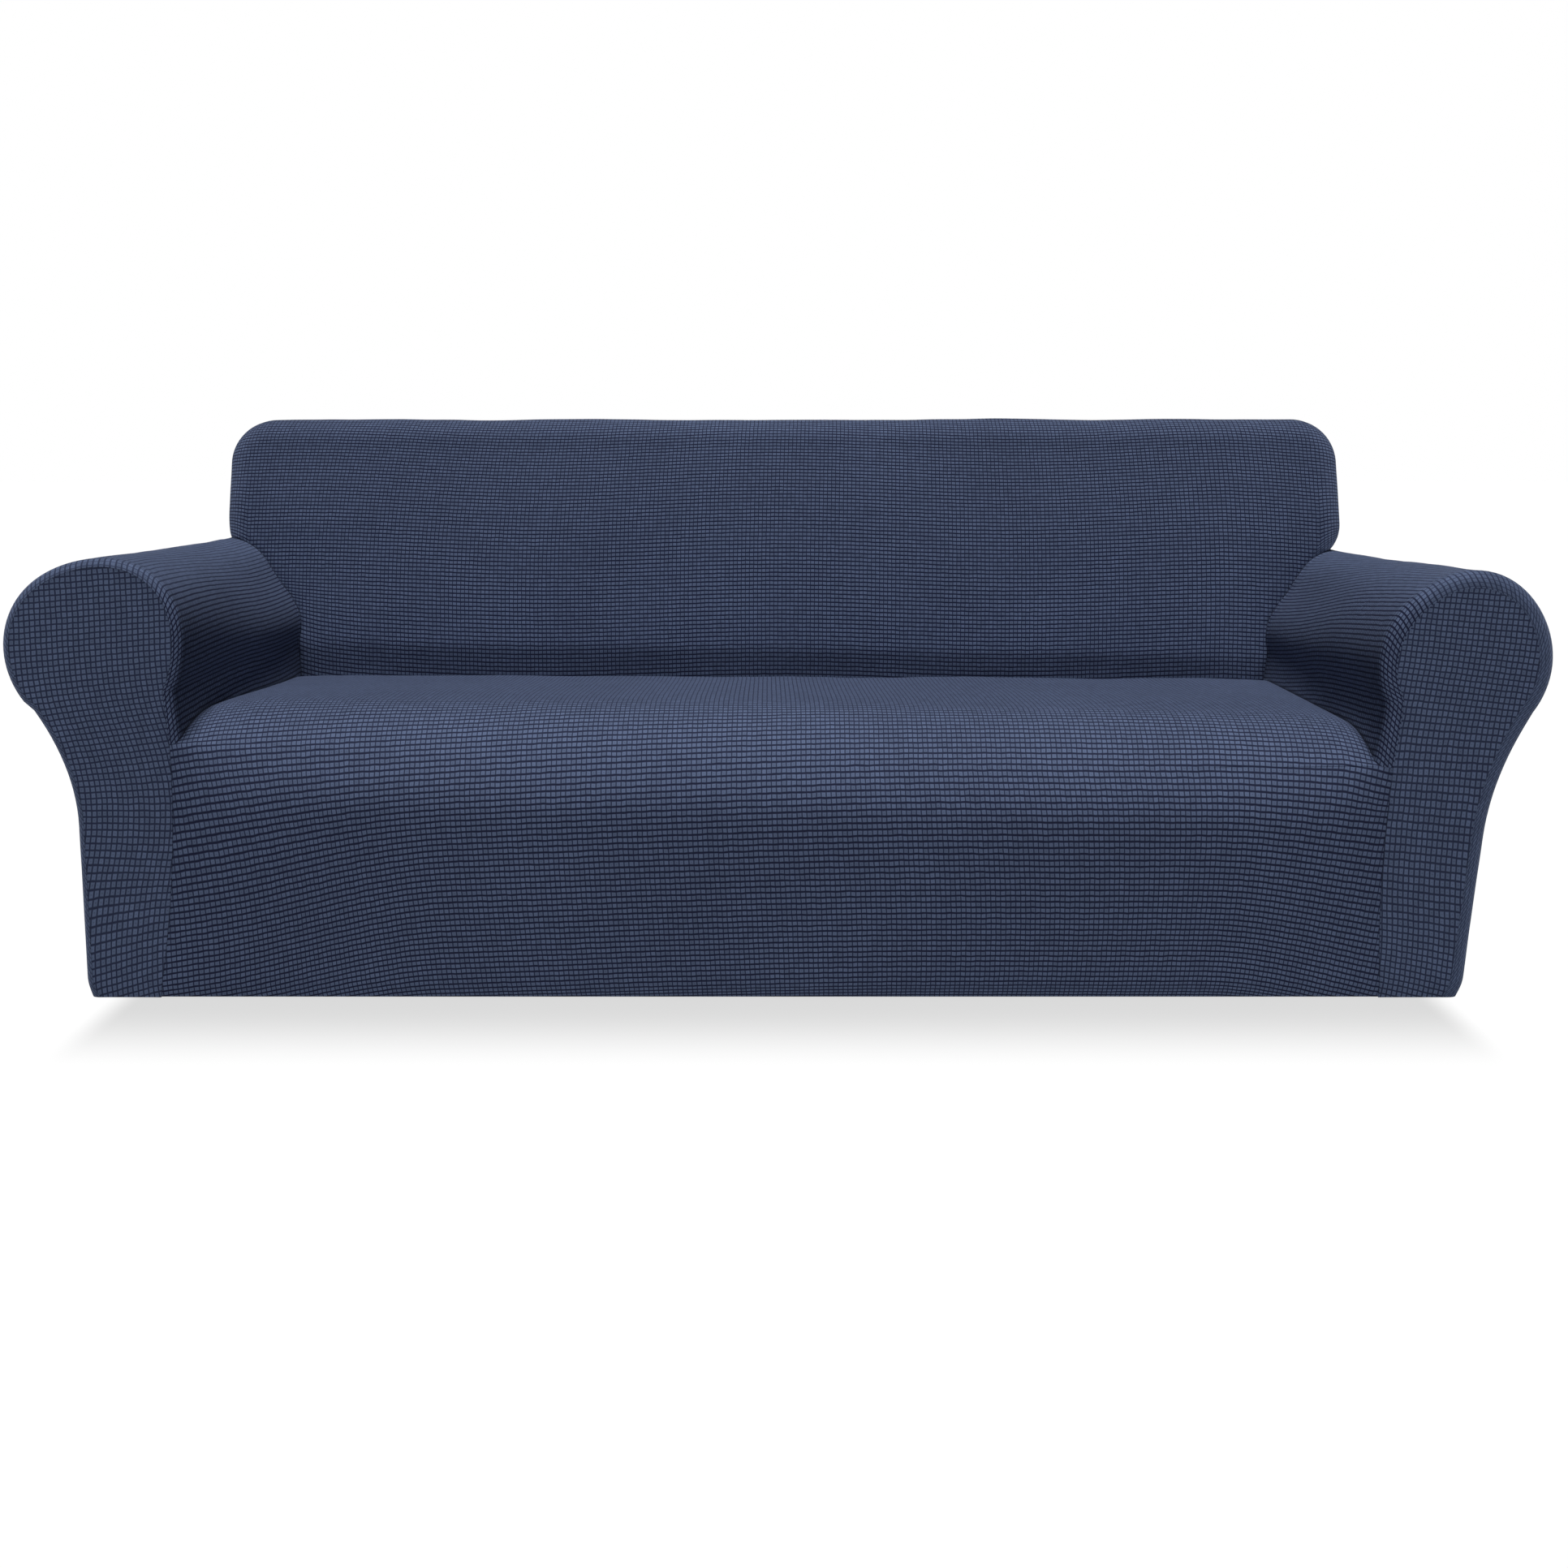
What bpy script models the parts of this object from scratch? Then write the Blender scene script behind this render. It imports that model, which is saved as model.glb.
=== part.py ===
"""Stretch slipcover for a three-seat sofa with rolled arms.

The cover is hollow and open underneath. It is built as one thin skin over the sofa's shape, in metres,
+X to the viewer's right, +Y from front to back and +Z up. The skin gets its thickness, and is then cut
along its seams into the seven panels that are sewn together.
"""
import math
from collections import namedtuple

import bmesh
import bpy
import numpy as np

# ---- driving dimensions -------------------------------------------------------------------------------
CLOTH = 0.002               # thickness of the stretch cloth
SEAM_GAP = 0.0003           # between two panels along a seam
DEPTH = 0.90                # front face to outside back
BACK_TOP = 0.860            # highest point of the back

SEAT_CREASE_Y = 0.625       # depth of the tuck between the seat and the back
SEAT_CREASE_Z = 0.383
TUCK_LENGTH = 0.045         # the seat rolls down into the tuck over this depth
SEAT_NOSE = 0.150           # and rounds down into the front over this depth
SEAT_CROWN = 0.012          # the seat stands this much above its edges
SEAT_TOP = 0.424            # height of its middle behind the rounding
SEAT_REAR = 0.405           # and just before the tuck
NOSE_FOOT = 0.270           # the rounding of the middle reaches down to this height
FRONT_BULGE = 0.010         # the front face's middle stands this much in front of its seams
CROWN_RISE = 0.10           # the crown grows over this length of cloth from the tuck
CROWN_FALL = 0.30           # and fades over this length above the hem
CROWN_FULLNESS = 12         # the higher, the nearer to the arms the crown stays full
NOSE_FULLNESS = 5           # and the same for the middle's own section

BACK_LEAN = 0.18            # how far the back leans, for each metre of height
BACK_BULGE = 0.014          # crown of the inside back
BACK_EDGE = 0.045           # rounding of the back's front edge
BACK_CORNER = 0.080         # radius of the back's upper corners
BACK_NARROWS = 0.055        # each side draws in by this for each metre above the arm
BACK_DRAWN = 0.050          # just above the arm, the side is drawn in over this height
TOP_MARGIN = 0.085          # share of the top edge, at each end, that the arms' columns rise to

REAR_EDGE = 0.012           # rounding of the rear edges
HEM_TUCK = 0.007            # the elastic draws the hem under by this
HEM_TUCK_HEIGHT = 0.034

PINCH_AT = math.radians(35)         # round the arm roll, from its inner side
ROLL_PINCH = 0.034                  # the roll is this much slimmer there where it meets the back
CREASE_AT = 0.800                   # pulled creases over the seat's front edge, from the centre line
CREASE_DEEP = 0.004
CREASE_WIDE = 0.022
CREASE_RUN = (0.30, 0.84)           # where they start and end, along the cloth from the tuck
CREASE_FADE = 0.12

Arm = namedtuple("Arm", "side centre height settle radius bulge full_at inner wall lean flare_from"
                        " flare_curve edge seam_inset edge_back edge_front corner seam_foot seam_bow"
                        " back_half back_draw")
LEFT = Arm(side=-1, centre=1.002, height=0.523, settle=0.0, radius=0.1265, bulge=0.020, full_at=48,
           inner=0.885, wall=1.0503, lean=-0.031, flare_from=0.265, flare_curve=1.85, edge=0.012,
           seam_inset=0.011, edge_back=0.405, edge_front=0.424, corner=0.389, seam_foot=0.940,
           seam_bow=0.0, back_half=1.028, back_draw=0.006)
RIGHT = Arm(side=1, centre=0.993, height=0.506, settle=0.003, radius=0.1245, bulge=0.009, full_at=100,
            inner=0.873, wall=1.025, lean=0.060, flare_from=0.250, flare_curve=1.30, edge=0.014,
            seam_inset=0.022, edge_back=0.398, edge_front=0.398, corner=0.355, seam_foot=0.900,
            seam_bow=-0.006, back_half=1.022, back_draw=0.020)

# ---- how finely the skin is divided -------------------------------------------------------------------
ROLL_START = math.radians(-27)      # the roll leaves the inner wall here
ROLL_END = math.radians(214.5)      # and turns into the flare under it here
WALL_STEPS = 2
INNER_ROLL_STEPS = 6
OUTER_ROLL_STEPS = 7
FLARE_STEPS = 4
FOOT_HEIGHTS = (0.215, 0.150, 0.090, 0.034, 0.012, 0.0)
ARCH_STEPS = 5                      # across the top of an arm's front
CREST = WALL_STEPS + INNER_ROLL_STEPS
SECTION_STEPS = CREST + OUTER_ROLL_STEPS + FLARE_STEPS + len(FOOT_HEIGHTS)
SLEEVE_DEPTHS = (0.040, 0.085, 0.150, 0.230, 0.320, 0.410, 0.500, 0.570, 0.602)
FRONT_HEIGHTS = (0.86, 0.72, 0.54, 0.38, 0.23, 0.0885, 0.0312, 0.0)     # share of the seam corner's height
SEAT_SPREAD = (0.0, 0.010, 0.026, 0.038, 0.0475, 0.057, 0.072, 0.105, 0.15, 0.20, 0.26, 0.32, 0.38, 0.44)
BACK_SIDE_STEPS = 5
CORNER_STEPS = 2                    # for each half of a corner
LINE_STEPS = 24                     # for each stretch of the seat's middle line
REAR_SHARE = 0.55                   # place of the back's middle line between its edges
ROUND_IN = 1.0 - math.sqrt(0.5)     # a rounding's middle point is drawn in by this share of its radius

PANELS = ("seat_and_front", "inside_back", "outside_back", "arm_sleeve_left", "arm_sleeve_right",
          "arm_front_left", "arm_front_right")
NAVY = (0.052, 0.082, 0.205, 1.0)


def smooth(share):
    """0 to 1 with flat ends."""
    share = min(1.0, max(0.0, share))
    return share * share * (3.0 - 2.0 * share)


def hem_tuck(height):
    """How far the elastic draws the cloth in at this height."""
    return HEM_TUCK * max(0.0, 1.0 - height / HEM_TUCK_HEIGHT) ** 2


def back_face(x, z):
    """Depth of the inside back at a point of the front view."""
    rise = (z - SEAT_CREASE_Z) / (BACK_TOP - SEAT_CREASE_Z)
    across = max(0.0, 1.0 - x ** 4)
    belly = BACK_BULGE * across * math.sin(math.pi * min(1.0, max(0.0, rise)))
    return SEAT_CREASE_Y + BACK_LEAN * (z - SEAT_CREASE_Z) - belly


def seat_edge(arm, depth):
    """Height of the seam between the seat and the arm at this depth."""
    flat = arm.edge_front + (arm.edge_back - arm.edge_front) * smooth(depth / SEAT_CREASE_Y)
    over = max(0.0, 1.0 - depth / SEAT_NOSE)
    tuck = smooth((depth - SEAT_CREASE_Y + TUCK_LENGTH) / TUCK_LENGTH)
    front = flat - (flat - arm.corner) * (1.0 - math.sqrt(1.0 - over * over))
    return front - tuck * (front - SEAT_CREASE_Z)


# ---- the arm's section: distance from the centre line, and height -------------------------------------
def roll_point(arm, angle, toward_back):
    full = max(0.0, math.cos(angle - math.radians(arm.full_at))) ** 4
    pinched = max(0.0, math.cos(angle - PINCH_AT)) ** 4
    radius = arm.radius + full * arm.bulge * (1.0 - toward_back) - pinched * ROLL_PINCH * toward_back
    height = arm.height - arm.settle * toward_back
    return arm.centre - radius * math.cos(angle), height + radius * math.sin(angle)


def crest_angle(arm, reach):
    """The angle at which the roll passes under a point this far from the centre line."""
    low, high = math.radians(40), math.radians(130)
    for _ in range(40):
        middle = 0.5 * (low + high)
        if roll_point(arm, middle, 1.0)[0] < reach:
            low = middle
        else:
            high = middle
    return 0.5 * (low + high)


def outer_wall(arm, height):
    flare = arm.flare_curve * max(0.0, height - arm.flare_from) ** 2
    return arm.wall + arm.lean * height + flare - hem_tuck(height)


def arm_section(arm, toward_back, foot, crest, inset):
    """Points from the seat's edge, over the roll and down to the hem, drawn in by inset."""
    points = []
    start = roll_point(arm, ROLL_START, toward_back)
    for step in range(WALL_STEPS):
        share = step / WALL_STEPS
        points.append((arm.inner + (start[0] - arm.inner) * share, foot + (start[1] - foot) * share))
    for step in range(INNER_ROLL_STEPS):
        points.append(roll_point(arm, ROLL_START + (crest - ROLL_START) * step / INNER_ROLL_STEPS,
                                 toward_back))
    for step in range(OUTER_ROLL_STEPS + 1):
        points.append(roll_point(arm, crest + (ROLL_END - crest) * step / OUTER_ROLL_STEPS, toward_back))
    under = points[-1][1]
    for step in range(1, FLARE_STEPS + 1):
        height = under + (arm.flare_from - under) * step / FLARE_STEPS
        points.append((outer_wall(arm, height), height))
    for height in FOOT_HEIGHTS:
        points.append((outer_wall(arm, height), height))
    points = np.array(points)
    along = np.gradient(points, axis=0)
    along[0] = along[-1] = (0.0, 1.0)
    along[-1] *= -1.0
    along /= np.linalg.norm(along, axis=1)[:, None]
    return points + inset * np.column_stack((along[:, 1], -along[:, 0]))


def wrap_rows(face):
    """Rows of the back's wrap, from the inside back at depth face to the rear seam.

    Each is how far it lies inside the back's outline, how far inside the arm's section, and its depth.
    """
    start, end = face + BACK_EDGE, DEPTH - REAR_EDGE
    return ((BACK_EDGE, 0.0, face),
            (BACK_EDGE * ROUND_IN, 0.0, face + BACK_EDGE * ROUND_IN),
            (0.0, 0.0, start),
            (0.0, 0.0, start + (end - start) * REAR_SHARE),
            (0.0, 0.0, end),
            (REAR_EDGE * ROUND_IN, REAR_EDGE * ROUND_IN, DEPTH - REAR_EDGE * ROUND_IN),
            (REAR_EDGE, REAR_EDGE, DEPTH))


def arm_sleeve(arm):
    """Two grids: all of the sleeve as far as the inside back, and the outer part behind that."""
    crest = crest_angle(arm, arm.back_half - arm.back_draw - BACK_EDGE)
    meeting = arm_section(arm, 1.0, SEAT_CREASE_Z, crest, 0.0)
    reach = [back_face(arm.side * a, z) for a, z in meeting]
    reach = [reach[min(step, CREST)] / SEAT_CREASE_Y for step in range(SECTION_STEPS + 1)]
    stations = [(0.0, arm.seam_inset), (arm.edge * ROUND_IN, arm.edge * ROUND_IN), (arm.edge, 0.0)]
    stations += [(depth, 0.0) for depth in SLEEVE_DEPTHS] + [(SEAT_CREASE_Y, 0.0)]
    front = []
    for depth, inset in stations:
        stretched = depth > arm.edge
        section = arm_section(arm, smooth(depth / SEAT_CREASE_Y), seat_edge(arm, depth), crest, inset)
        front.append([(arm.side * a, depth * (reach[step] if stretched else 1.0)
                       + (hem_tuck(z) if depth < arm.edge else 0.0), z)
                      for step, (a, z) in enumerate(section)])
    rear = [front[-1][CREST:]]
    for inset, rear_inset, depth in wrap_rows(front[-1][CREST][1])[1:]:
        turned = crest_angle(arm, arm.back_half - arm.back_draw - inset)
        section = arm_section(arm, 1.0, SEAT_CREASE_Z, turned, rear_inset)
        rear.append([(arm.side * a, depth, z) for a, z in section[CREST:]])
    return np.array(front), np.array(rear)


# ---- patches between four edges -----------------------------------------------------------------------
def fill_between(low, high, first, last):
    """Grid of points between four edges that meet at their ends: rows run from low to high."""
    columns, rows = len(low) - 1, len(first) - 1
    grid = np.zeros((rows + 1, columns + 1, 3))
    for row in range(rows + 1):
        v = row / rows
        for column in range(columns + 1):
            u = column / columns
            grid[row, column] = ((1 - v) * low[column] + v * high[column]
                                 + (1 - u) * first[row] + u * last[row]
                                 - (1 - u) * (1 - v) * low[0] - u * (1 - v) * low[-1]
                                 - (1 - u) * v * high[0] - u * v * high[-1])
    return grid


def front_seam(arm, start):
    """The seam between the seat's front and the arm's front, from their upper corner to the hem."""
    points = [start]
    for share in FRONT_HEIGHTS:
        down = 1.0 - share
        reach = abs(start[0]) + (arm.seam_foot - abs(start[0])) * down ** 2
        reach += arm.seam_bow * math.sin(math.pi * down)
        height = start[2] * share
        points.append(np.array((arm.side * reach, hem_tuck(height), height)))
    return np.array(points)


def seat_columns():
    left = list(SEAT_SPREAD)
    return np.array(left + [0.5] + [1.0 - share for share in reversed(left)])


def middle_line():
    """The seat's section halfway between the arms, from the tuck over the rounding to the hem."""
    points = []
    for step in range(LINE_STEPS + 1):
        depth = SEAT_CREASE_Y + (SEAT_NOSE - SEAT_CREASE_Y) * step / LINE_STEPS
        falls = smooth((depth - SEAT_NOSE) / (SEAT_CREASE_Y - SEAT_NOSE))
        top = SEAT_TOP + (SEAT_REAR - SEAT_TOP) * falls
        tuck = smooth((depth - SEAT_CREASE_Y + TUCK_LENGTH) / TUCK_LENGTH)
        points.append((depth, top - tuck * (top - SEAT_CREASE_Z)))
    for step in range(1, LINE_STEPS + 1):
        angle = math.pi / 2 * step / LINE_STEPS
        points.append((SEAT_NOSE - (SEAT_NOSE + FRONT_BULGE) * math.sin(angle),
                       NOSE_FOOT + (SEAT_TOP - NOSE_FOOT) * math.cos(angle)))
    for step in range(1, LINE_STEPS + 1):
        height = NOSE_FOOT * (1.0 - step / LINE_STEPS)
        points.append((hem_tuck(height) - FRONT_BULGE * smooth(height / NOSE_FOOT), height))
    return np.array(points)


def lengths_along(line):
    """Length of cloth from the line's start to each of its points."""
    return np.concatenate(([0.0], np.cumsum(np.linalg.norm(np.diff(line, axis=0), axis=1))))


def seat_grid(left_edge, right_edge):
    """The seat and its front, between the two edges, with its crown and its two pulled creases."""
    columns = seat_columns()
    middle = 0.5 * (left_edge + right_edge)
    along = np.gradient(middle[:, 1:], axis=0)
    along /= np.linalg.norm(along, axis=1)[:, None]
    outward = np.column_stack((along[:, 1], -along[:, 0]))
    lengths = lengths_along(middle)
    line = middle_line()
    line_lengths = lengths_along(line)
    grid = np.zeros((len(middle), len(columns), 3))
    for row, length in enumerate(lengths):
        crown = SEAT_CROWN * smooth(length / CROWN_RISE) * smooth((lengths[-1] - length) / CROWN_FALL)
        crowned = middle[row][1:] + crown * outward[row]
        place = length / lengths[-1] * line_lengths[-1]
        soft = [np.interp(place, line_lengths, line[:, axis]) - crowned[axis] for axis in (0, 1)]
        pulled = smooth((length - CREASE_RUN[0]) / CREASE_FADE)
        pulled *= smooth((CREASE_RUN[1] - length) / CREASE_FADE)
        for column, share in enumerate(columns):
            point = left_edge[row] + (right_edge[row] - left_edge[row]) * share
            fullness = 1.0 - abs(2.0 * share - 1.0) ** CROWN_FULLNESS
            softness = 1.0 - abs(2.0 * share - 1.0) ** NOSE_FULLNESS
            crease = math.exp(-((abs(point[0]) - CREASE_AT) / CREASE_WIDE) ** 2) * CREASE_DEEP * pulled
            push = crown * fullness - crease
            grid[row, column] = point + (0.0, *(push * outward[row] + softness * np.array(soft)))
    return grid


def back_outline(inset, left_start, right_start):
    """One ring of the back's wrap, from the left arm, over the top, to the right arm."""
    halves = []
    for arm, start in ((LEFT, left_start), (RIGHT, right_start)):
        radius = BACK_CORNER - inset
        centre_z = BACK_TOP - BACK_CORNER
        reach = arm.back_half - BACK_CORNER
        points = []
        for step in range(BACK_SIDE_STEPS):
            height = (centre_z - start) * step / BACK_SIDE_STEPS
            drawn = arm.back_draw * max(0.0, 1.0 - height / BACK_DRAWN) ** 2
            points.append((arm.back_half - inset - drawn, start + height))
        for step in range(2 * CORNER_STEPS + 1):
            angle = math.pi / 2 * step / (2 * CORNER_STEPS)
            points.append((reach + radius * math.cos(angle), centre_z + radius * math.sin(angle)))
        halves.append([(arm.side * (a - BACK_NARROWS * (z - start)), z) for a, z in points])
    left, right = halves
    columns = seat_columns()
    top = left[-1][1]
    inner = [left[-1][0] + (right[-1][0] - left[-1][0]) * share for share in top_columns(columns)]
    return left + [(x, top) for x in inner] + right[::-1]


def top_columns(columns):
    """Shares of the straight top edge at which the columns of the inside back end, between its ends."""
    spread = [TOP_MARGIN + (1.0 - 2.0 * TOP_MARGIN) * share for share in columns]
    lead = CREST - CORNER_STEPS
    before = [TOP_MARGIN * step / lead for step in range(1, lead)]
    return before + spread + [1.0 - share for share in reversed(before)]


def back_wrap(left_rear, right_rear):
    """Rings from the inside back's edge, round the sides and top, to the rear seam."""
    rings = []
    face_line = back_outline(BACK_EDGE, left_rear[0][0][2], right_rear[0][0][2])
    for row, (inset, _, _) in enumerate(wrap_rows(0.0)):
        start_left, start_right = left_rear[row][0], right_rear[row][0]
        flat = back_outline(inset, start_left[2], start_right[2])
        ring = [(x, wrap_rows(back_face(*face))[row][2], z) for (x, z), face in zip(flat, face_line)]
        ring[0], ring[-1] = tuple(start_left), tuple(start_right)
        rings.append(ring)
    return np.array(rings)


# ---- building -----------------------------------------------------------------------------------------
class Skin:
    """One thin mesh: patches share the vertices where they meet, and each face knows its panel."""

    def __init__(self):
        self.mesh = bmesh.new()
        self.places = {}

    def vertex(self, point):
        key = tuple(round(float(value), 6) for value in point)
        if key not in self.places:
            self.places[key] = self.mesh.verts.new(key)
        return self.places[key]

    def face(self, points, panel):
        corners = []
        for point in points:
            vertex = self.vertex(point)
            if vertex not in corners:
                corners.append(vertex)
        made = self.mesh.faces.new(corners)
        made.material_index = PANELS.index(panel)
        made.smooth = True

    def patch(self, grid, panel, turned):
        rows, columns = grid.shape[:2]
        for row in range(rows - 1):
            for column in range(columns - 1):
                corners = [grid[row, column], grid[row, column + 1],
                           grid[row + 1, column + 1], grid[row + 1, column]]
                self.face(corners[::-1] if turned else corners, panel)


def build_skin():
    skin = Skin()
    sleeves = {}
    for arm, side in ((LEFT, "left"), (RIGHT, "right")):
        front, rear = arm_sleeve(arm)
        sleeves[side] = (front, rear)
        for grid in (front, rear):
            skin.patch(grid, "arm_sleeve_" + side, turned=arm.side < 0)

    edges = {}
    seams = {}
    for arm, side in ((LEFT, "left"), (RIGHT, "right")):
        front = sleeves[side][0]
        seams[side] = front_seam(arm, front[0][0])
        edges[side] = np.concatenate((front[::-1, 0], seams[side][1:]))
    seat = seat_grid(edges["left"], edges["right"])
    skin.patch(seat, "seat_and_front", turned=True)

    for arm, side in ((LEFT, "left"), (RIGHT, "right")):
        scroll = sleeves[side][0][0]
        side_steps = (SECTION_STEPS + len(FRONT_HEIGHTS) - ARCH_STEPS) // 2
        inner_top = side_steps - len(FRONT_HEIGHTS)
        outer_top = SECTION_STEPS - side_steps
        inner = np.concatenate((seams[side][::-1], scroll[1:inner_top + 1]))
        outer = scroll[:outer_top - 1:-1]
        arch = scroll[inner_top:outer_top + 1]
        hem = np.linspace(inner[0], outer[0], len(arch))
        skin.patch(fill_between(hem, arch, inner, outer), "arm_front_" + side, turned=arm.side < 0)

    rings = back_wrap(sleeves["left"][1], sleeves["right"][1])
    skin.patch(rings, "inside_back", turned=False)
    side_rows = BACK_SIDE_STEPS + CORNER_STEPS
    left_meeting = sleeves["left"][0][-1][:CREST + 1]
    right_meeting = sleeves["right"][0][-1][:CREST + 1]
    low = np.concatenate((left_meeting[::-1], seat[0][1:-1], right_meeting))
    face = fill_between(low, rings[0][side_rows:-side_rows], rings[0][:side_rows + 1],
                        rings[0][:-side_rows - 2:-1])
    for row in face[1:-1]:
        for point in row[1:-1]:
            point[1] = back_face(point[0], point[2])
    skin.patch(face, "inside_back", turned=False)

    rear_outline = [*sleeves["left"][1][-1][::-1], *rings[-1][1:-1], *sleeves["right"][1][-1]]
    skin.face(rear_outline, "outside_back")
    return skin.mesh


def place_origin(mesh):
    """Moves the origin to the middle of the cover's footprint, at the hem."""
    places = np.array([vertex.co for vertex in mesh.verts])
    low, high = places.min(axis=0), places.max(axis=0)
    shift = (-(low[0] + high[0]) / 2, -(low[1] + high[1]) / 2, -low[2])
    bmesh.ops.translate(mesh, verts=mesh.verts[:], vec=shift)


def thicken(mesh):
    """Gives the whole skin the cloth's thickness, inwards, and returns it as a mesh of two layers."""
    bmesh.ops.triangulate(mesh, faces=mesh.faces[:])
    data = bpy.data.meshes.new("skin")
    mesh.to_mesh(data)
    body = bpy.data.objects.new("skin", data)
    bpy.context.scene.collection.objects.link(body)
    for name in PANELS:
        data.materials.append(bpy.data.materials.new(name + "_mark"))
    solid = body.modifiers.new("cloth", "SOLIDIFY")
    solid.thickness = CLOTH
    solid.offset = -1.0
    solid.use_even_offset = True
    solid.use_rim = False
    depsgraph = bpy.context.evaluated_depsgraph_get()
    layers = bmesh.new()
    layers.from_mesh(body.evaluated_get(depsgraph).to_mesh())
    bpy.data.objects.remove(body)
    return layers


def cut_panel(layers, name, material):
    """Keeps one panel's two layers, draws them back from the seams and closes their edges."""
    panel = layers.copy()
    others = [face for face in panel.faces if face.material_index != PANELS.index(name)]
    bmesh.ops.delete(panel, geom=others, context="FACES")
    rims = bmesh.ops.inset_region(panel, faces=panel.faces[:], thickness=SEAM_GAP / 2,
                                  use_boundary=True, use_even_offset=True)
    bmesh.ops.delete(panel, geom=rims["faces"], context="FACES")
    open_edges = [edge for edge in panel.edges if edge.is_boundary]
    edge_faces = bmesh.ops.bridge_loops(panel, edges=open_edges)["faces"]
    bmesh.ops.triangulate(panel, faces=edge_faces, quad_method="SHORT_EDGE")
    bmesh.ops.recalc_face_normals(panel, faces=panel.faces[:])
    for face in panel.faces:
        face.material_index = 0
    data = bpy.data.meshes.new(name)
    panel.to_mesh(data)
    panel.free()
    data.materials.append(material)
    data.set_sharp_from_angle(angle=math.radians(50))
    piece = bpy.data.objects.new(name, data)
    bpy.context.scene.collection.objects.link(piece)


def cloth_material():
    material = bpy.data.materials.new("navy_stretch_cloth")
    material.use_nodes = True
    shader = material.node_tree.nodes["Principled BSDF"]
    shader.inputs["Base Color"].default_value = NAVY
    shader.inputs["Roughness"].default_value = 0.85
    shader.inputs["Metallic"].default_value = 0.0
    return material


def main():
    for leftover in list(bpy.data.objects):
        bpy.data.objects.remove(leftover)
    skin = build_skin()
    place_origin(skin)
    layers = thicken(skin)
    cloth = cloth_material()
    for name in PANELS:
        cut_panel(layers, name, cloth)


main()
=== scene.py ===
"""Looks of the stretch slipcover: seven knitted panels, the light, the floor and the camera.

Each panel is one thin sheet. It starts as a flat grid, is laid in the cover's stretched shape, gets its
seams, creases and pulled folds, and is then given the cloth's thickness. Its UV map counts the knit's small
raised squares: one unit across is one column of squares, and one unit down is one row of them.
"""
import math
from collections import namedtuple

import bpy
import numpy as np
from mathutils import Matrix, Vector, noise


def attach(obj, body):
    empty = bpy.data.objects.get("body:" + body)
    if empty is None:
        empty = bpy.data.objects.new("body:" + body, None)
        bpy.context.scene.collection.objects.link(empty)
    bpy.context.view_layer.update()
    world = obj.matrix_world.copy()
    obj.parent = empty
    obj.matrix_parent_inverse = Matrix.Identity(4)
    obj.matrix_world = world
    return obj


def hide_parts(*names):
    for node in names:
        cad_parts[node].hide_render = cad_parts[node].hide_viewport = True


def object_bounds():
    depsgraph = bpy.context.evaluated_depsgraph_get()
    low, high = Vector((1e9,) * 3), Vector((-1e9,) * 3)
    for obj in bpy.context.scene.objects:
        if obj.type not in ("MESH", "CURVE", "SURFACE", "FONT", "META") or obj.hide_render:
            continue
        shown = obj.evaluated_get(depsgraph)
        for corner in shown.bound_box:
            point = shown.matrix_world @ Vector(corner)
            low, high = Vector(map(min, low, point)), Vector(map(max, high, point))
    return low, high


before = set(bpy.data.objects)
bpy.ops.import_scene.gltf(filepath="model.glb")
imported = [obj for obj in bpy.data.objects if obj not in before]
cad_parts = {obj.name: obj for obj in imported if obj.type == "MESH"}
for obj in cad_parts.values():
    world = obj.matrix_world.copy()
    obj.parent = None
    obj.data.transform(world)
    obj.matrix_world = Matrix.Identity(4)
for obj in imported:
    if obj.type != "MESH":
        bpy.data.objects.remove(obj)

packed_low, packed_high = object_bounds()

# ---- the cover's shape, in metres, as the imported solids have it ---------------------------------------
SEWING_TO_FRAME = np.array((0.0055, -0.445, 0.0))     # the sizes below count depth from the front face
DEPTH = 0.90
BACK_TOP = 0.860

SEAT_CREASE_Y = 0.625
SEAT_CREASE_Z = 0.383
TUCK_LENGTH = 0.045
SEAT_NOSE = 0.150
SEAT_CROWN = 0.012
SEAT_TOP = 0.424
SEAT_REAR = 0.405
NOSE_FOOT = 0.270
FRONT_BULGE = 0.010
CROWN_RISE = 0.10
CROWN_FALL = 0.30
CROWN_FULLNESS = 24
NOSE_FULLNESS = 9

BACK_LEAN = 0.18
BACK_BULGE = 0.014
BACK_EDGE = 0.045
BACK_CORNER = 0.080
BACK_NARROWS = 0.055
BACK_DRAWN = 0.050
TOP_MARGIN = 0.085

REAR_EDGE = 0.012
HEM_TUCK = 0.007
HEM_TUCK_HEIGHT = 0.034

PINCH_AT = math.radians(35)
ROLL_PINCH = 0.034
ROLL_START = math.radians(-27)
ROLL_END = math.radians(214.5)

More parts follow.
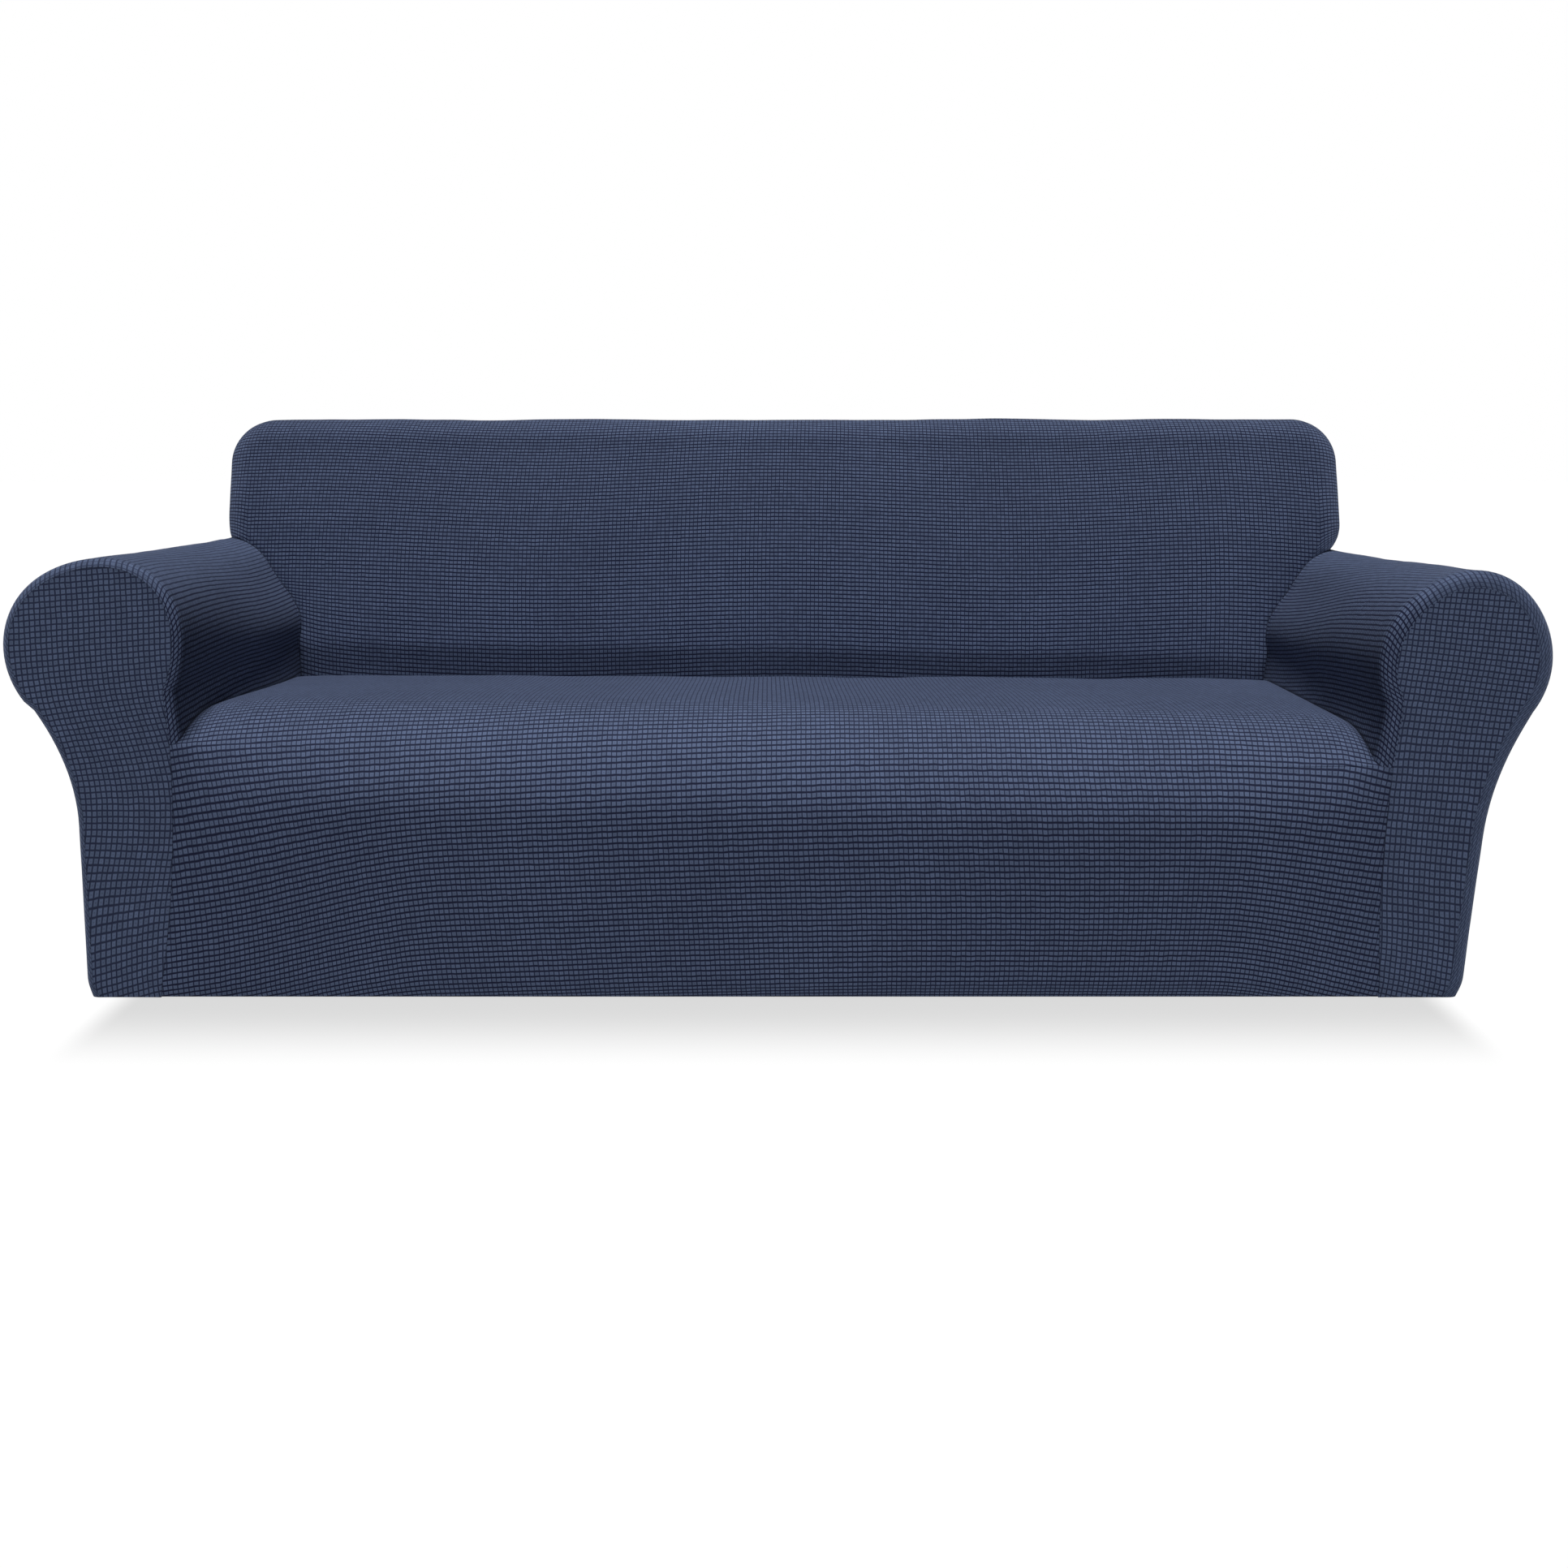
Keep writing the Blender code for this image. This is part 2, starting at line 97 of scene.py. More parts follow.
Arm = namedtuple("Arm", "side centre height settle radius bulge full_at inner wall lean flare_from"
                        " flare_curve edge seam_inset edge_back edge_front corner seam_foot seam_bow"
                        " back_half back_draw")
LEFT = Arm(side=-1, centre=1.002, height=0.523, settle=0.0, radius=0.1265, bulge=0.020, full_at=48,
           inner=0.885, wall=1.0503, lean=-0.031, flare_from=0.265, flare_curve=1.85, edge=0.012,
           seam_inset=0.011, edge_back=0.405, edge_front=0.424, corner=0.389, seam_foot=0.940,
           seam_bow=0.0, back_half=1.028, back_draw=0.006)
RIGHT = Arm(side=1, centre=0.993, height=0.506, settle=0.003, radius=0.1245, bulge=0.009, full_at=100,
            inner=0.873, wall=1.025, lean=0.060, flare_from=0.250, flare_curve=1.30, edge=0.014,
            seam_inset=0.022, edge_back=0.398, edge_front=0.398, corner=0.355, seam_foot=0.900,
            seam_bow=-0.006, back_half=1.022, back_draw=0.020)

# ---- how finely the sheets are divided ----------------------------------------------------------------
WALL_STEPS = 8
INNER_ROLL_STEPS = 26
OUTER_ROLL_STEPS = 34
FLARE_STEPS = 14
FOOT_STEPS = 26
CREST = WALL_STEPS + INNER_ROLL_STEPS
SECTION_STEPS = CREST + OUTER_ROLL_STEPS + FLARE_STEPS + FOOT_STEPS
EDGE_STEPS = 8
SLEEVE_STEPS = 84
FRONT_STEPS = 40
SEAT_STEPS = 150
BACK_SIDE_STEPS = 26
CORNER_STEPS = 8
ARCH_STEPS = 30
LINE_STEPS = 60
WRAP_EDGE_ROWS, WRAP_SIDE_ROWS, WRAP_REAR_ROWS = 8, 14, 6
SLEEVE_CLOSENESS = 0.75         # how much closer together the divisions lie near both ends
SEAT_CLOSENESS = 0.70
FOOT_SPACING = 1.5              # above 1, the divisions lie closer together towards the hem
FRONT_SPACING = 1.15

# ---- how the cloth lies -------------------------------------------------------------------------------
CLOTH = 0.0018                  # thickness of a panel
SEAM_MERGE = 0.00002            # points of two grids this near to each other are joined
SEAM_PUFF = 0.0014              # the cloth stands this much above its seams
SEAM_PUFF_WIDTH = 0.007
SEAM_WIDTH = 0.002              # the dark line of a seam or hem, partly its stitching and partly painted contact shade, reaches this far on each side
SEAM_AND_SHADOW_DARKNESS = 0.90
FRONT_DEPTH = 0.03              # seams this near to the front are flatter, and fainter with less painted contact shade
FRONT_PUFF = 0.4
FRONT_SEAM_SHADE = 0.12
WAVES = ((0.16, 0.0022), (0.06, 0.0006))        # size and height of the cloth's slow unevenness
WAVES_END = 0.03                # it fades out within this distance of a seam
FOLDS_END = 0.012               # and folds within this one
FOLD_TIP = 0.05                 # share of a fold's length that is cut from the fading at each end
SHARP_EDGE = math.radians(40)


def smooth(share):
    """0 to 1 with flat ends."""
    share = np.clip(share, 0.0, 1.0)
    return share * share * (3.0 - 2.0 * share)


def closer_at_ends(steps, closeness):
    """Shares from 0 to 1 that lie closer together near both ends."""
    even = np.linspace(0.0, 1.0, steps + 1)
    return even - closeness * np.sin(2 * math.pi * even) / (2 * math.pi)


def hem_tuck(height):
    return HEM_TUCK * np.clip(1.0 - height / HEM_TUCK_HEIGHT, 0.0, None) ** 2


def back_face(x, z):
    """Depth of the inside back at a point of the front view."""
    rise = np.clip((z - SEAT_CREASE_Z) / (BACK_TOP - SEAT_CREASE_Z), 0.0, 1.0)
    belly = BACK_BULGE * np.clip(1.0 - x ** 4, 0.0, None) * np.sin(math.pi * rise)
    return SEAT_CREASE_Y + BACK_LEAN * (z - SEAT_CREASE_Z) - belly


def seat_edge(arm, depth):
    """Height of the seam between the seat and the arm at this depth."""
    flat = arm.edge_front + (arm.edge_back - arm.edge_front) * smooth(depth / SEAT_CREASE_Y)
    over = np.clip(1.0 - depth / SEAT_NOSE, 0.0, None)
    tuck = smooth((depth - SEAT_CREASE_Y + TUCK_LENGTH) / TUCK_LENGTH)
    front = flat - (flat - arm.corner) * over ** 2
    return front - tuck * (front - SEAT_CREASE_Z)


# ---- the arms -----------------------------------------------------------------------------------------
def roll_point(arm, angle, toward_back):
    """A point of the arm's roll. The angle is 0 on its inner side and 90 degrees on top."""
    full = np.clip(np.cos(angle - math.radians(arm.full_at)), 0.0, None) ** 4
    pinched = np.clip(np.cos(angle - PINCH_AT), 0.0, None) ** 4
    radius = arm.radius + full * arm.bulge * (1.0 - toward_back) - pinched * ROLL_PINCH * toward_back
    height = arm.height - arm.settle * toward_back
    return np.stack((arm.centre - radius * np.cos(angle), height + radius * np.sin(angle)), axis=-1)


CREST_BETWEEN = math.radians(40), math.radians(130)
HALVINGS = 40


def crest_angle(arm, reach):
    """The angle at which the roll passes under a point this far from the centre line."""
    low, high = CREST_BETWEEN
    for _ in range(HALVINGS):
        middle = 0.5 * (low + high)
        if roll_point(arm, middle, 1.0)[0] < reach:
            low = middle
        else:
            high = middle
    return 0.5 * (low + high)


def outer_wall(arm, height):
    """The outer side below the roll, which flares upwards and is drawn in at the hem."""
    flare = arm.flare_curve * np.clip(height - arm.flare_from, 0.0, None) ** 2
    return np.stack((arm.wall + arm.lean * height + flare - hem_tuck(height), height), axis=-1)


def arm_section(arm, toward_back, foot, crest, inset):
    """Points from the seat's edge, over the roll and down to the hem, drawn in by inset."""
    start = roll_point(arm, ROLL_START, toward_back)
    wall = np.linspace((arm.inner, foot), start, WALL_STEPS, endpoint=False)
    inner = roll_point(arm, np.linspace(ROLL_START, crest, INNER_ROLL_STEPS, endpoint=False), toward_back)
    outer = roll_point(arm, np.linspace(crest, ROLL_END, OUTER_ROLL_STEPS + 1), toward_back)
    flare = outer_wall(arm, np.linspace(outer[-1][1], arm.flare_from, FLARE_STEPS + 1)[1:])
    foot_heights = arm.flare_from * np.linspace(1.0, 0.0, FOOT_STEPS + 1)[1:] ** FOOT_SPACING
    points = np.vstack((wall, inner, outer, flare, outer_wall(arm, foot_heights)))
    along = np.gradient(points, axis=0)
    along[0] = (0.0, 1.0)
    along[-1] = (0.0, -1.0)
    along /= np.linalg.norm(along, axis=1)[:, None]
    return points + inset * np.column_stack((along[:, 1], -along[:, 0]))


def front_edge_stations(arm):
    """The rounded front edge, from the scroll's seam: depth and how far the section is drawn in."""
    insets = arm.seam_inset * np.linspace(1.0, 0.0, EDGE_STEPS + 1) ** 2
    sine = np.clip(1.0 - insets / arm.edge, 0.0, None)
    return list(zip(arm.edge * (1.0 - np.sqrt(1.0 - sine * sine)), insets))


def wrap_rows(face):
    """Rows from the inside back at depth face, round the edge, to the rear seam.

    Each is how far it lies inside the back's outline, how far inside the arm's section, and its depth.
    """
    start, end = face + BACK_EDGE, DEPTH - REAR_EDGE
    rows = []
    for angle in np.linspace(0.0, math.pi / 2, WRAP_EDGE_ROWS):
        rows.append((BACK_EDGE * (1 - math.sin(angle)), 0.0, start - BACK_EDGE * math.cos(angle)))
    for share in np.linspace(0.0, 1.0, WRAP_SIDE_ROWS)[1:]:
        rows.append((0.0, 0.0, start + (end - start) * share))
    for angle in np.linspace(0.0, math.pi / 2, WRAP_REAR_ROWS)[1:]:
        inset = REAR_EDGE * (1 - math.cos(angle))
        rows.append((inset, inset, end + REAR_EDGE * math.sin(angle)))
    return rows


SLIDE_FULL = 0.15               # from this depth on, the sections lean with the inside back


def arm_sleeve(arm):
    """Two grids: all of the sleeve as far as the inside back, and the outer part behind that."""
    crest = crest_angle(arm, arm.back_half - arm.back_draw - BACK_EDGE)
    meeting = arm_section(arm, 1.0, SEAT_CREASE_Z, crest, 0.0)
    reach = back_face(arm.side * meeting[:, 0], meeting[:, 1]) / SEAT_CREASE_Y
    reach[CREST:] = reach[CREST]
    depths = arm.edge + (SEAT_CREASE_Y - arm.edge) * closer_at_ends(SLEEVE_STEPS, SLEEVE_CLOSENESS)
    stations = front_edge_stations(arm) + [(depth, 0.0) for depth in depths[1:]]
    front = []
    for depth, inset in stations:
        section = arm_section(arm, smooth(depth / SEAT_CREASE_Y), seat_edge(arm, depth), crest, inset)
        slide = 1.0 + (reach - 1.0) * smooth(depth / SLIDE_FULL)
        drawn = hem_tuck(section[:, 1]) * max(0.0, 1.0 - depth / arm.edge)
        front.append(np.column_stack((arm.side * section[:, 0], depth * slide + drawn, section[:, 1])))
    rear = [front[-1][CREST:]]
    for inset, rear_inset, depth in wrap_rows(front[-1][CREST][1])[1:]:
        turned = crest_angle(arm, arm.back_half - arm.back_draw - inset)
        section = arm_section(arm, 1.0, SEAT_CREASE_Z, turned, rear_inset)[CREST:]
        depths = np.full(len(section), depth)
        rear.append(np.column_stack((arm.side * section[:, 0], depths, section[:, 1])))
    return np.array(front), np.array(rear)


# ---- patches between four edges -----------------------------------------------------------------------
def fill_between(low, high, first, last):
    """Grid of points between four edges that meet at their ends: rows run from low to high."""
    low, high, first, last = (np.asarray(edge) for edge in (low, high, first, last))
    u = np.linspace(0.0, 1.0, len(low))[None, :, None]
    v = np.linspace(0.0, 1.0, len(first))[:, None, None]
    return ((1 - v) * low[None] + v * high[None] + (1 - u) * first[:, None] + u * last[:, None]
            - (1 - u) * (1 - v) * low[0] - u * (1 - v) * low[-1]
            - (1 - u) * v * high[0] - u * v * high[-1])


def front_seam(arm, start):
    """The seam between the seat's front and the arm's front, from their upper corner to the hem."""
    share = np.linspace(1.0, 0.0, FRONT_STEPS + 1)[1:] ** FRONT_SPACING
    down = 1.0 - share
    reach = abs(start[0]) + (arm.seam_foot - abs(start[0])) * down ** 2
    reach = reach + arm.seam_bow * np.sin(math.pi * down)
    height = start[2] * share
    return np.vstack((start, np.column_stack((arm.side * reach, hem_tuck(height), height))))


def lengths_along(line):
    """Length of cloth from the line's start to each of its points."""
    return np.concatenate(([0.0], np.cumsum(np.linalg.norm(np.diff(line, axis=0), axis=1))))


def middle_line():
    """The seat's section halfway between the arms, from the tuck over the rounding to the hem."""
    depth = np.linspace(SEAT_CREASE_Y, SEAT_NOSE, LINE_STEPS + 1)
    top = SEAT_TOP + (SEAT_REAR - SEAT_TOP) * smooth((depth - SEAT_NOSE) / (SEAT_CREASE_Y - SEAT_NOSE))
    tuck = smooth((depth - SEAT_CREASE_Y + TUCK_LENGTH) / TUCK_LENGTH)
    seat = np.column_stack((depth, top - tuck * (top - SEAT_CREASE_Z)))
    angle = np.linspace(0.0, math.pi / 2, LINE_STEPS + 1)[1:]
    nose = np.column_stack((SEAT_NOSE - (SEAT_NOSE + FRONT_BULGE) * np.sin(angle),
                            NOSE_FOOT + (SEAT_TOP - NOSE_FOOT) * np.cos(angle)))
    height = np.linspace(NOSE_FOOT, 0.0, LINE_STEPS + 1)[1:]
    front = np.column_stack((hem_tuck(height) - FRONT_BULGE * smooth(height / NOSE_FOOT), height))
    return np.vstack((seat, nose, front))


def seat_grid(left_edge, right_edge):
    """The seat and its front, between the two edges, with its crown and its softer middle."""
    columns = closer_at_ends(SEAT_STEPS, SEAT_CLOSENESS)
    middle = 0.5 * (left_edge + right_edge)
    along = np.gradient(middle[:, 1:], axis=0)
    along /= np.linalg.norm(along, axis=1)[:, None]
    outward = np.column_stack((along[:, 1], -along[:, 0]))
    lengths = lengths_along(middle)
    crown = SEAT_CROWN * smooth(lengths / CROWN_RISE) * smooth((lengths[-1] - lengths) / CROWN_FALL)
    push = crown[:, None] * outward
    line = middle_line()
    line_lengths = lengths_along(line)
    places = lengths / lengths[-1] * line_lengths[-1]
    target = np.column_stack([np.interp(places, line_lengths, line[:, axis]) for axis in (0, 1)])
    soft = target - middle[:, 1:] - push
    across = np.abs(2.0 * columns - 1.0)
    fullness = (1.0 - across ** CROWN_FULLNESS)[None, :, None]
    softness = (1.0 - across ** NOSE_FULLNESS)[None, :, None]
    grid = left_edge[:, None] + (right_edge - left_edge)[:, None] * columns[None, :, None]
    grid[..., 1:] += fullness * push[:, None] + softness * soft[:, None]
    return grid


def back_outline(inset, left_start, right_start):
    """One ring of the back's wrap, from the left arm, over the top, to the right arm."""
    halves = []
    for arm, start in ((LEFT, left_start), (RIGHT, right_start)):
        radius = BACK_CORNER - inset
        centre_z = BACK_TOP - BACK_CORNER
        height = (centre_z - start) * np.arange(BACK_SIDE_STEPS) / BACK_SIDE_STEPS
        drawn = arm.back_draw * np.clip(1.0 - height / BACK_DRAWN, 0.0, None) ** 2
        side = np.column_stack((arm.back_half - inset - drawn, start + height))
        angle = np.linspace(0.0, math.pi / 2, 2 * CORNER_STEPS + 1)
        corner = np.column_stack((arm.back_half - BACK_CORNER + radius * np.cos(angle),
                                  centre_z + radius * np.sin(angle)))
        half = np.vstack((side, corner))
        half[:, 0] = arm.side * (half[:, 0] - BACK_NARROWS * (half[:, 1] - start))
        halves.append(half)
    left, right = halves
    shares = top_columns()
    top = np.column_stack((left[-1][0] + (right[-1][0] - left[-1][0]) * shares,
                           np.full(len(shares), left[-1][1])))
    return np.vstack((left, top, right[::-1]))


def top_columns():
    """Shares of the straight top edge at which the columns of the inside back end, between its ends."""
    spread = TOP_MARGIN + (1.0 - 2.0 * TOP_MARGIN) * closer_at_ends(SEAT_STEPS, SEAT_CLOSENESS)
    lead = CREST - CORNER_STEPS
    before = TOP_MARGIN * np.arange(1, lead) / lead
    return np.concatenate((before, spread, 1.0 - before[::-1]))


def back_wrap(left_rear, right_rear):
    """Rings from the inside back's edge, round the sides and top, to the rear seam."""
    face_line = back_outline(BACK_EDGE, left_rear[0][0][2], right_rear[0][0][2])
    faces = back_face(face_line[:, 0], face_line[:, 1])
    rings = []
    for row, (inset, _, _) in enumerate(wrap_rows(0.0)):
        flat = back_outline(inset, left_rear[row][0][2], right_rear[row][0][2])
        depths = np.array([wrap_rows(face)[row][2] for face in faces])
        ring = np.column_stack((flat[:, 0], depths, flat[:, 1]))
        ring[0], ring[-1] = left_rear[row][0], right_rear[row][0]
        rings.append(ring)
    return np.array(rings)


# ---- from grids to sheets -----------------------------------------------------------------------------
def lay_grid(name, places, cells):
    """A flat grid whose points are moved to their places, with the knit's cells as its UV map."""
    rows, columns = places.shape[:2]
    bpy.ops.object.select_all(action="DESELECT")
    bpy.ops.mesh.primitive_grid_add(x_subdivisions=columns - 1, y_subdivisions=rows - 1, size=1.0,
                                    calc_uvs=True)
    piece = bpy.context.object
    piece.name = name
    mesh = piece.data
    mesh.vertices.foreach_set("co", (places + SEWING_TO_FRAME).reshape(-1))
    corners = np.zeros(len(mesh.loops), dtype=np.int32)
    mesh.loops.foreach_get("vertex_index", corners)
    mesh.uv_layers.active.name = "cells"
    mesh.uv_layers.active.data.foreach_set("uv", cells.reshape(-1, 2)[corners].reshape(-1))
    mesh.update()
    return piece


def sew_grids(pieces, name, turned):
    """Joins grids that share edges into one sheet whose faces point outwards."""
    bpy.ops.object.select_all(action="DESELECT")
    for piece in pieces:
        piece.select_set(True)
    bpy.context.view_layer.objects.active = pieces[0]
    if len(pieces) > 1:
        bpy.ops.object.join()
    sheet = bpy.context.object
    sheet.name = sheet.data.name = name
    bpy.ops.object.mode_set(mode="EDIT")
    bpy.ops.mesh.select_all(action="SELECT")
    bpy.ops.mesh.remove_doubles(threshold=SEAM_MERGE)
    if turned:
        bpy.ops.mesh.flip_normals()
    bpy.ops.object.mode_set(mode="OBJECT")
    return sheet


def distance_to_lines(points, starts, ends):
    """From each point to the nearest of many short lines."""
    nearest = np.full(len(points), np.inf)
    for start, end in zip(starts, ends):
        run = end - start
        share = np.clip(((points - start) @ run) / max(run @ run, 1e-12), 0.0, 1.0)
        away = points - start - share[:, None] * run
        nearest = np.minimum(nearest, np.einsum("ij,ij->i", away, away))
    return np.sqrt(nearest)


def seam_distance(mesh, points):
    """From each point of a sheet to its nearest edge, where it is sewn or hemmed."""
    pairs = np.zeros(2 * len(mesh.edges), dtype=np.int32)
    mesh.edges.foreach_get("vertices", pairs)
    used = np.zeros(len(mesh.loops), dtype=np.int32)
    mesh.loops.foreach_get("edge_index", used)
    rim = pairs.reshape(-1, 2)[np.bincount(used, minlength=len(mesh.edges)) == 1]
    return distance_to_lines(points, points[rim[:, 0]], points[rim[:, 1]])


Fold = namedtuple("Fold", "start end height width")      # height is negative for a trough


def fold_height(points, fold):
    """A soft ridge or trough along a line, fading towards both ends."""
    start, end = (np.array(place) for place in (fold.start, fold.end))
    run = end - start
    share = ((points - start) @ run) / (run @ run)
    away = points - start - np.clip(share, 0.0, 1.0)[:, None] * run
    spread = np.einsum("ij,ij->i", away, away) / fold.width ** 2
    fade = np.sin(math.pi * np.clip(share * (1.0 - 2.0 * FOLD_TIP) + FOLD_TIP, 0.0, 1.0)) ** 0.7
    return fold.height * np.exp(-spread) * fade


def waves(points, size, height):
    """Slow unevenness of cloth stretched by hand."""
    return height * np.array([noise.noise(Vector(point / size)) for point in points])


def finish_cloth(sheet, folds, openness_and_shade):
    """Raises the cloth beside its seams, adds its folds and gives it its thickness.

    The last argument tells how far the channels between the knit's squares are pulled apart at each point;
    it also carries painted shade, as darker channels on the sleeves' inner sides, and painted light, as
    lighter channels on the seat top.
    """
    mesh = sheet.data
    points = np.zeros(3 * len(mesh.vertices))
    mesh.vertices.foreach_get("co", points)
    points = points.reshape(-1, 3)
    normals = np.zeros(3 * len(mesh.vertices))
    mesh.vertex_normals.foreach_get("vector", normals)
    away = seam_distance(mesh, points)
    in_front = points[:, 1] < packed_low[1] + FRONT_DEPTH
    free = 1.0 - np.exp(-(away / SEAM_PUFF_WIDTH) ** 2)
    height = SEAM_PUFF * free * np.where(in_front, FRONT_PUFF, 1.0)
    height = height + smooth(away / WAVES_END) * sum(waves(points, size, rise) for size, rise in WAVES)
    for fold in folds:
        height = height + smooth(away / FOLDS_END) * fold_height(points, fold)
    mesh.vertices.foreach_set("co", (points + height[:, None] * normals.reshape(-1, 3)).reshape(-1))
    # a dark line along every seam and hem: partly the seam's own stitching, partly painted contact shade,
    # strongest away from the front
    seam = mesh.attributes.new("seam", "FLOAT", "POINT")
    shade = np.where(in_front, FRONT_SEAM_SHADE, SEAM_AND_SHADOW_DARKNESS)
    seam.data.foreach_set("value", np.exp(-(away / SEAM_WIDTH) ** 2) * shade)
    # the channels' openness, which also carries painted shade on the sleeves and painted light on the seat
    # top
    channels = mesh.attributes.new("open_and_shaded", "FLOAT", "POINT")
    channels.data.foreach_set("value", openness_and_shade(points))
    mesh.update()

    bpy.ops.object.select_all(action="DESELECT")
    sheet.select_set(True)
    bpy.context.view_layer.objects.active = sheet
    solid = sheet.modifiers.new("thickness", "SOLIDIFY")
    solid.thickness = CLOTH
    solid.offset = -1.0
    solid.use_even_offset = False
    bpy.ops.object.modifier_apply(modifier=solid.name)
    bpy.ops.object.shade_smooth_by_angle(angle=SHARP_EDGE)
    return sheet


def running_length(places, axis):
    """Length of cloth along one direction of a grid, from its first row or column."""
    steps = np.linalg.norm(np.diff(places, axis=axis), axis=2)
    total = np.cumsum(steps, axis=axis)
    return np.insert(total, 0, 0.0, axis=axis)


# ---- how the knit lies on each panel ------------------------------------------------------------------
# A panel's cells are counted from places on it. The rows drop and the columns lean where the cloth is
# pulled. Lengths are in metres and angles in degrees. Across is the distance to the right of the middle.
COLUMN = 0.0074                 # pitch of the knit's columns
ROW = 0.0097                    # and of its rows on the seat
COUNT_STEPS = 400
TINY = 1e-6                     # keeps the count away from a division by zero


def count_along(start, end, pitch):
    """A function that counts the cells from start to each place, where the pitch changes on the way."""
    places = np.linspace(start, end, COUNT_STEPS)
    counts = np.concatenate(([0.0], np.cumsum(np.diff(places) / pitch(0.5 * (places[1:] + places[:-1])))))
    return lambda place: np.interp(place, places, counts)


Spread = namedtuple("Spread", "across share width")      # share by which columns are further apart there


def column_pitch(place, spreads):
    return COLUMN * (1.0 + sum(spread.share * np.exp(-((place - spread.across) / spread.width) ** 2)
                               for spread in spreads))


SEAT_SPREADS = (Spread(-0.70, -0.15, 0.09), Spread(-0.88, 0.10, 0.05))
Lean = namedtuple("Lean", "across nose top middle hem")  # how much a column leans to the right going up
SEAT_LEANS = (Lean(-0.90, -6.0, -5.0, -2.0, 2.5),
              Lean(-0.80, -9.5, -13.0, -3.0, 2.5),
              Lean(-0.72, -8.0, -7.5, -3.5, -0.5),
              Lean(-0.60, -5.0, 0.5, -3.5, -4.5),
              Lean(-0.37, -3.0, 0.0, -2.0, -4.0),
              Lean(0.00, 0.0, -0.5, -3.0, -2.0),
              Lean(0.35, 2.0, -5.0, -5.0, 1.5),
              Lean(0.57, 4.0, -4.5, -1.5, 3.5),
              Lean(0.73, 7.0, 2.5, 4.0, 6.0),
              Lean(0.90, 8.0, 8.0, 8.5, 9.0))
LEAN_TOP, LEAN_MIDDLE, LEAN_HEM = 0.35, 0.20, 0.05      # heights of the last three; the nose is above
DECK_LEAN, DECK_FROM = 0.018, 0.10      # from this depth on, they drift to the left by this share of it


def seat_columns(x, z):
    """Columns on the seat and its front. Their lean changes evenly between the heights of the table."""
    across = [lean.across for lean in SEAT_LEANS]
    nose, top, middle, hem = (
        np.tan(np.radians(np.interp(x, across, [getattr(lean, level) for lean in SEAT_LEANS])))
        for level in ("nose", "top", "middle", "hem"))
    count = count_along(-1.0, 1.0, lambda place: column_pitch(place, SEAT_SPREADS))
    above = np.clip(z - LEAN_MIDDLE, 0.0, LEAN_TOP - LEAN_MIDDLE)
    below = np.clip(LEAN_MIDDLE - z, 0.0, None)
    drift = middle * (below - above) - nose * np.clip(z - LEAN_TOP, 0.0, None)
    drift = drift - (top - middle) * above ** 2 / (2 * (LEAN_TOP - LEAN_MIDDLE))
    drift = drift + (hem - middle) * below ** 2 / (2 * (LEAN_MIDDLE - LEAN_HEM))
    return count(x) + drift / COLUMN


Drops = namedtuple("Drops", "sharp soft")                # each has pairs of a drop and how far it reaches
LEFT_HIGH = Drops(sharp=((0.036, 0.20),), soft=((0.046, 1.2),))
LEFT_LOW = Drops(sharp=((0.010, 0.05),), soft=((0.070, 0.42), (0.030, 1.2)))
LOW_BELOW, HIGH_ABOVE = 0.14, 0.38
RIGHT_DROP, RIGHT_LESS, RIGHT_LEAST = 0.064, 0.125, 0.010       # at the hem, less per metre up, at least
RIGHT_FROM, RIGHT_OVER = 0.10, 0.36
MITRE_ACROSS = 0.825            # the seat's right corner turns here, and the rows turn down beyond it
MITRE_DROP, MITRE_FADE = 0.14, 0.05
FRONT_CLOSER = 0.0017           # the rows' pitch is this much less at the foot of the front
HEM_CLOSER, HEM_ROWS, HEM_FADE = 0.28, 0.03, 0.010      # and less by this share below this height


def hanging(away, drops):
    """How much lower the rows hang this far from a seam."""
    return (sum(drop * np.exp(-away / reach) for drop, reach in drops.sharp)
            + sum(drop * (1.0 - smooth(away / reach)) for drop, reach in drops.soft))


def seat_rows(x, z, lengths, left, right):
    """Rows on the seat and its front: they hang lower towards both seams, most on the left."""
    high = smooth((z - LOW_BELOW) / (HIGH_ABOVE - LOW_BELOW))
    drop = high * hanging(left, LEFT_HIGH) + (1.0 - high) * hanging(left, LEFT_LOW)
    right_drop = np.clip(RIGHT_DROP - RIGHT_LESS * z, RIGHT_LEAST, None)
    drop = drop + right_drop * (1.0 - smooth((right + RIGHT_FROM) / RIGHT_OVER))
    beyond = np.clip(x - MITRE_ACROSS, 0.0, None)
    drop = drop + MITRE_DROP * beyond * smooth((z - NOSE_FOOT) / MITRE_FADE)
    line = middle_line()
    line_lengths = lengths_along(line)

    def pitch(place):
        height = np.interp(place, line_lengths, line[:, 1])
        lower = ROW - FRONT_CLOSER * smooth((NOSE_FOOT - height) / NOSE_FOOT)
        pitch = np.where(place > SEAT_CREASE_Y - SEAT_NOSE, lower, ROW)
        return pitch * (1.0 - HEM_CLOSER * smooth((HEM_ROWS - height) / HEM_FADE))

    return -count_along(-0.2, line_lengths[-1], pitch)(lengths * line_lengths[-1] - drop)


Fan = namedtuple("Fan", "across lean")                   # the lean at the fan's height above its foot
BACK_FAN = (Fan(-0.94, 9.0), Fan(-0.78, 13.0), Fan(-0.58, 11.0), Fan(-0.33, 5.5), Fan(0.0, 2.0),
            Fan(0.2, 0.0), Fan(0.4, -3.0), Fan(0.6, -6.0), Fan(0.9, -6.0))
FAN_FOOT, FAN_HEIGHT, FAN_CURVE, FAN_END = 0.50, 0.30, 2.3, 1.2
BACK_SPREADS = (Spread(0.77, 0.14, 0.10),)
BACK_LEFT_CLOSER, BACK_LEFT_FROM, BACK_LEFT_OVER = 0.10, -0.70, 0.10


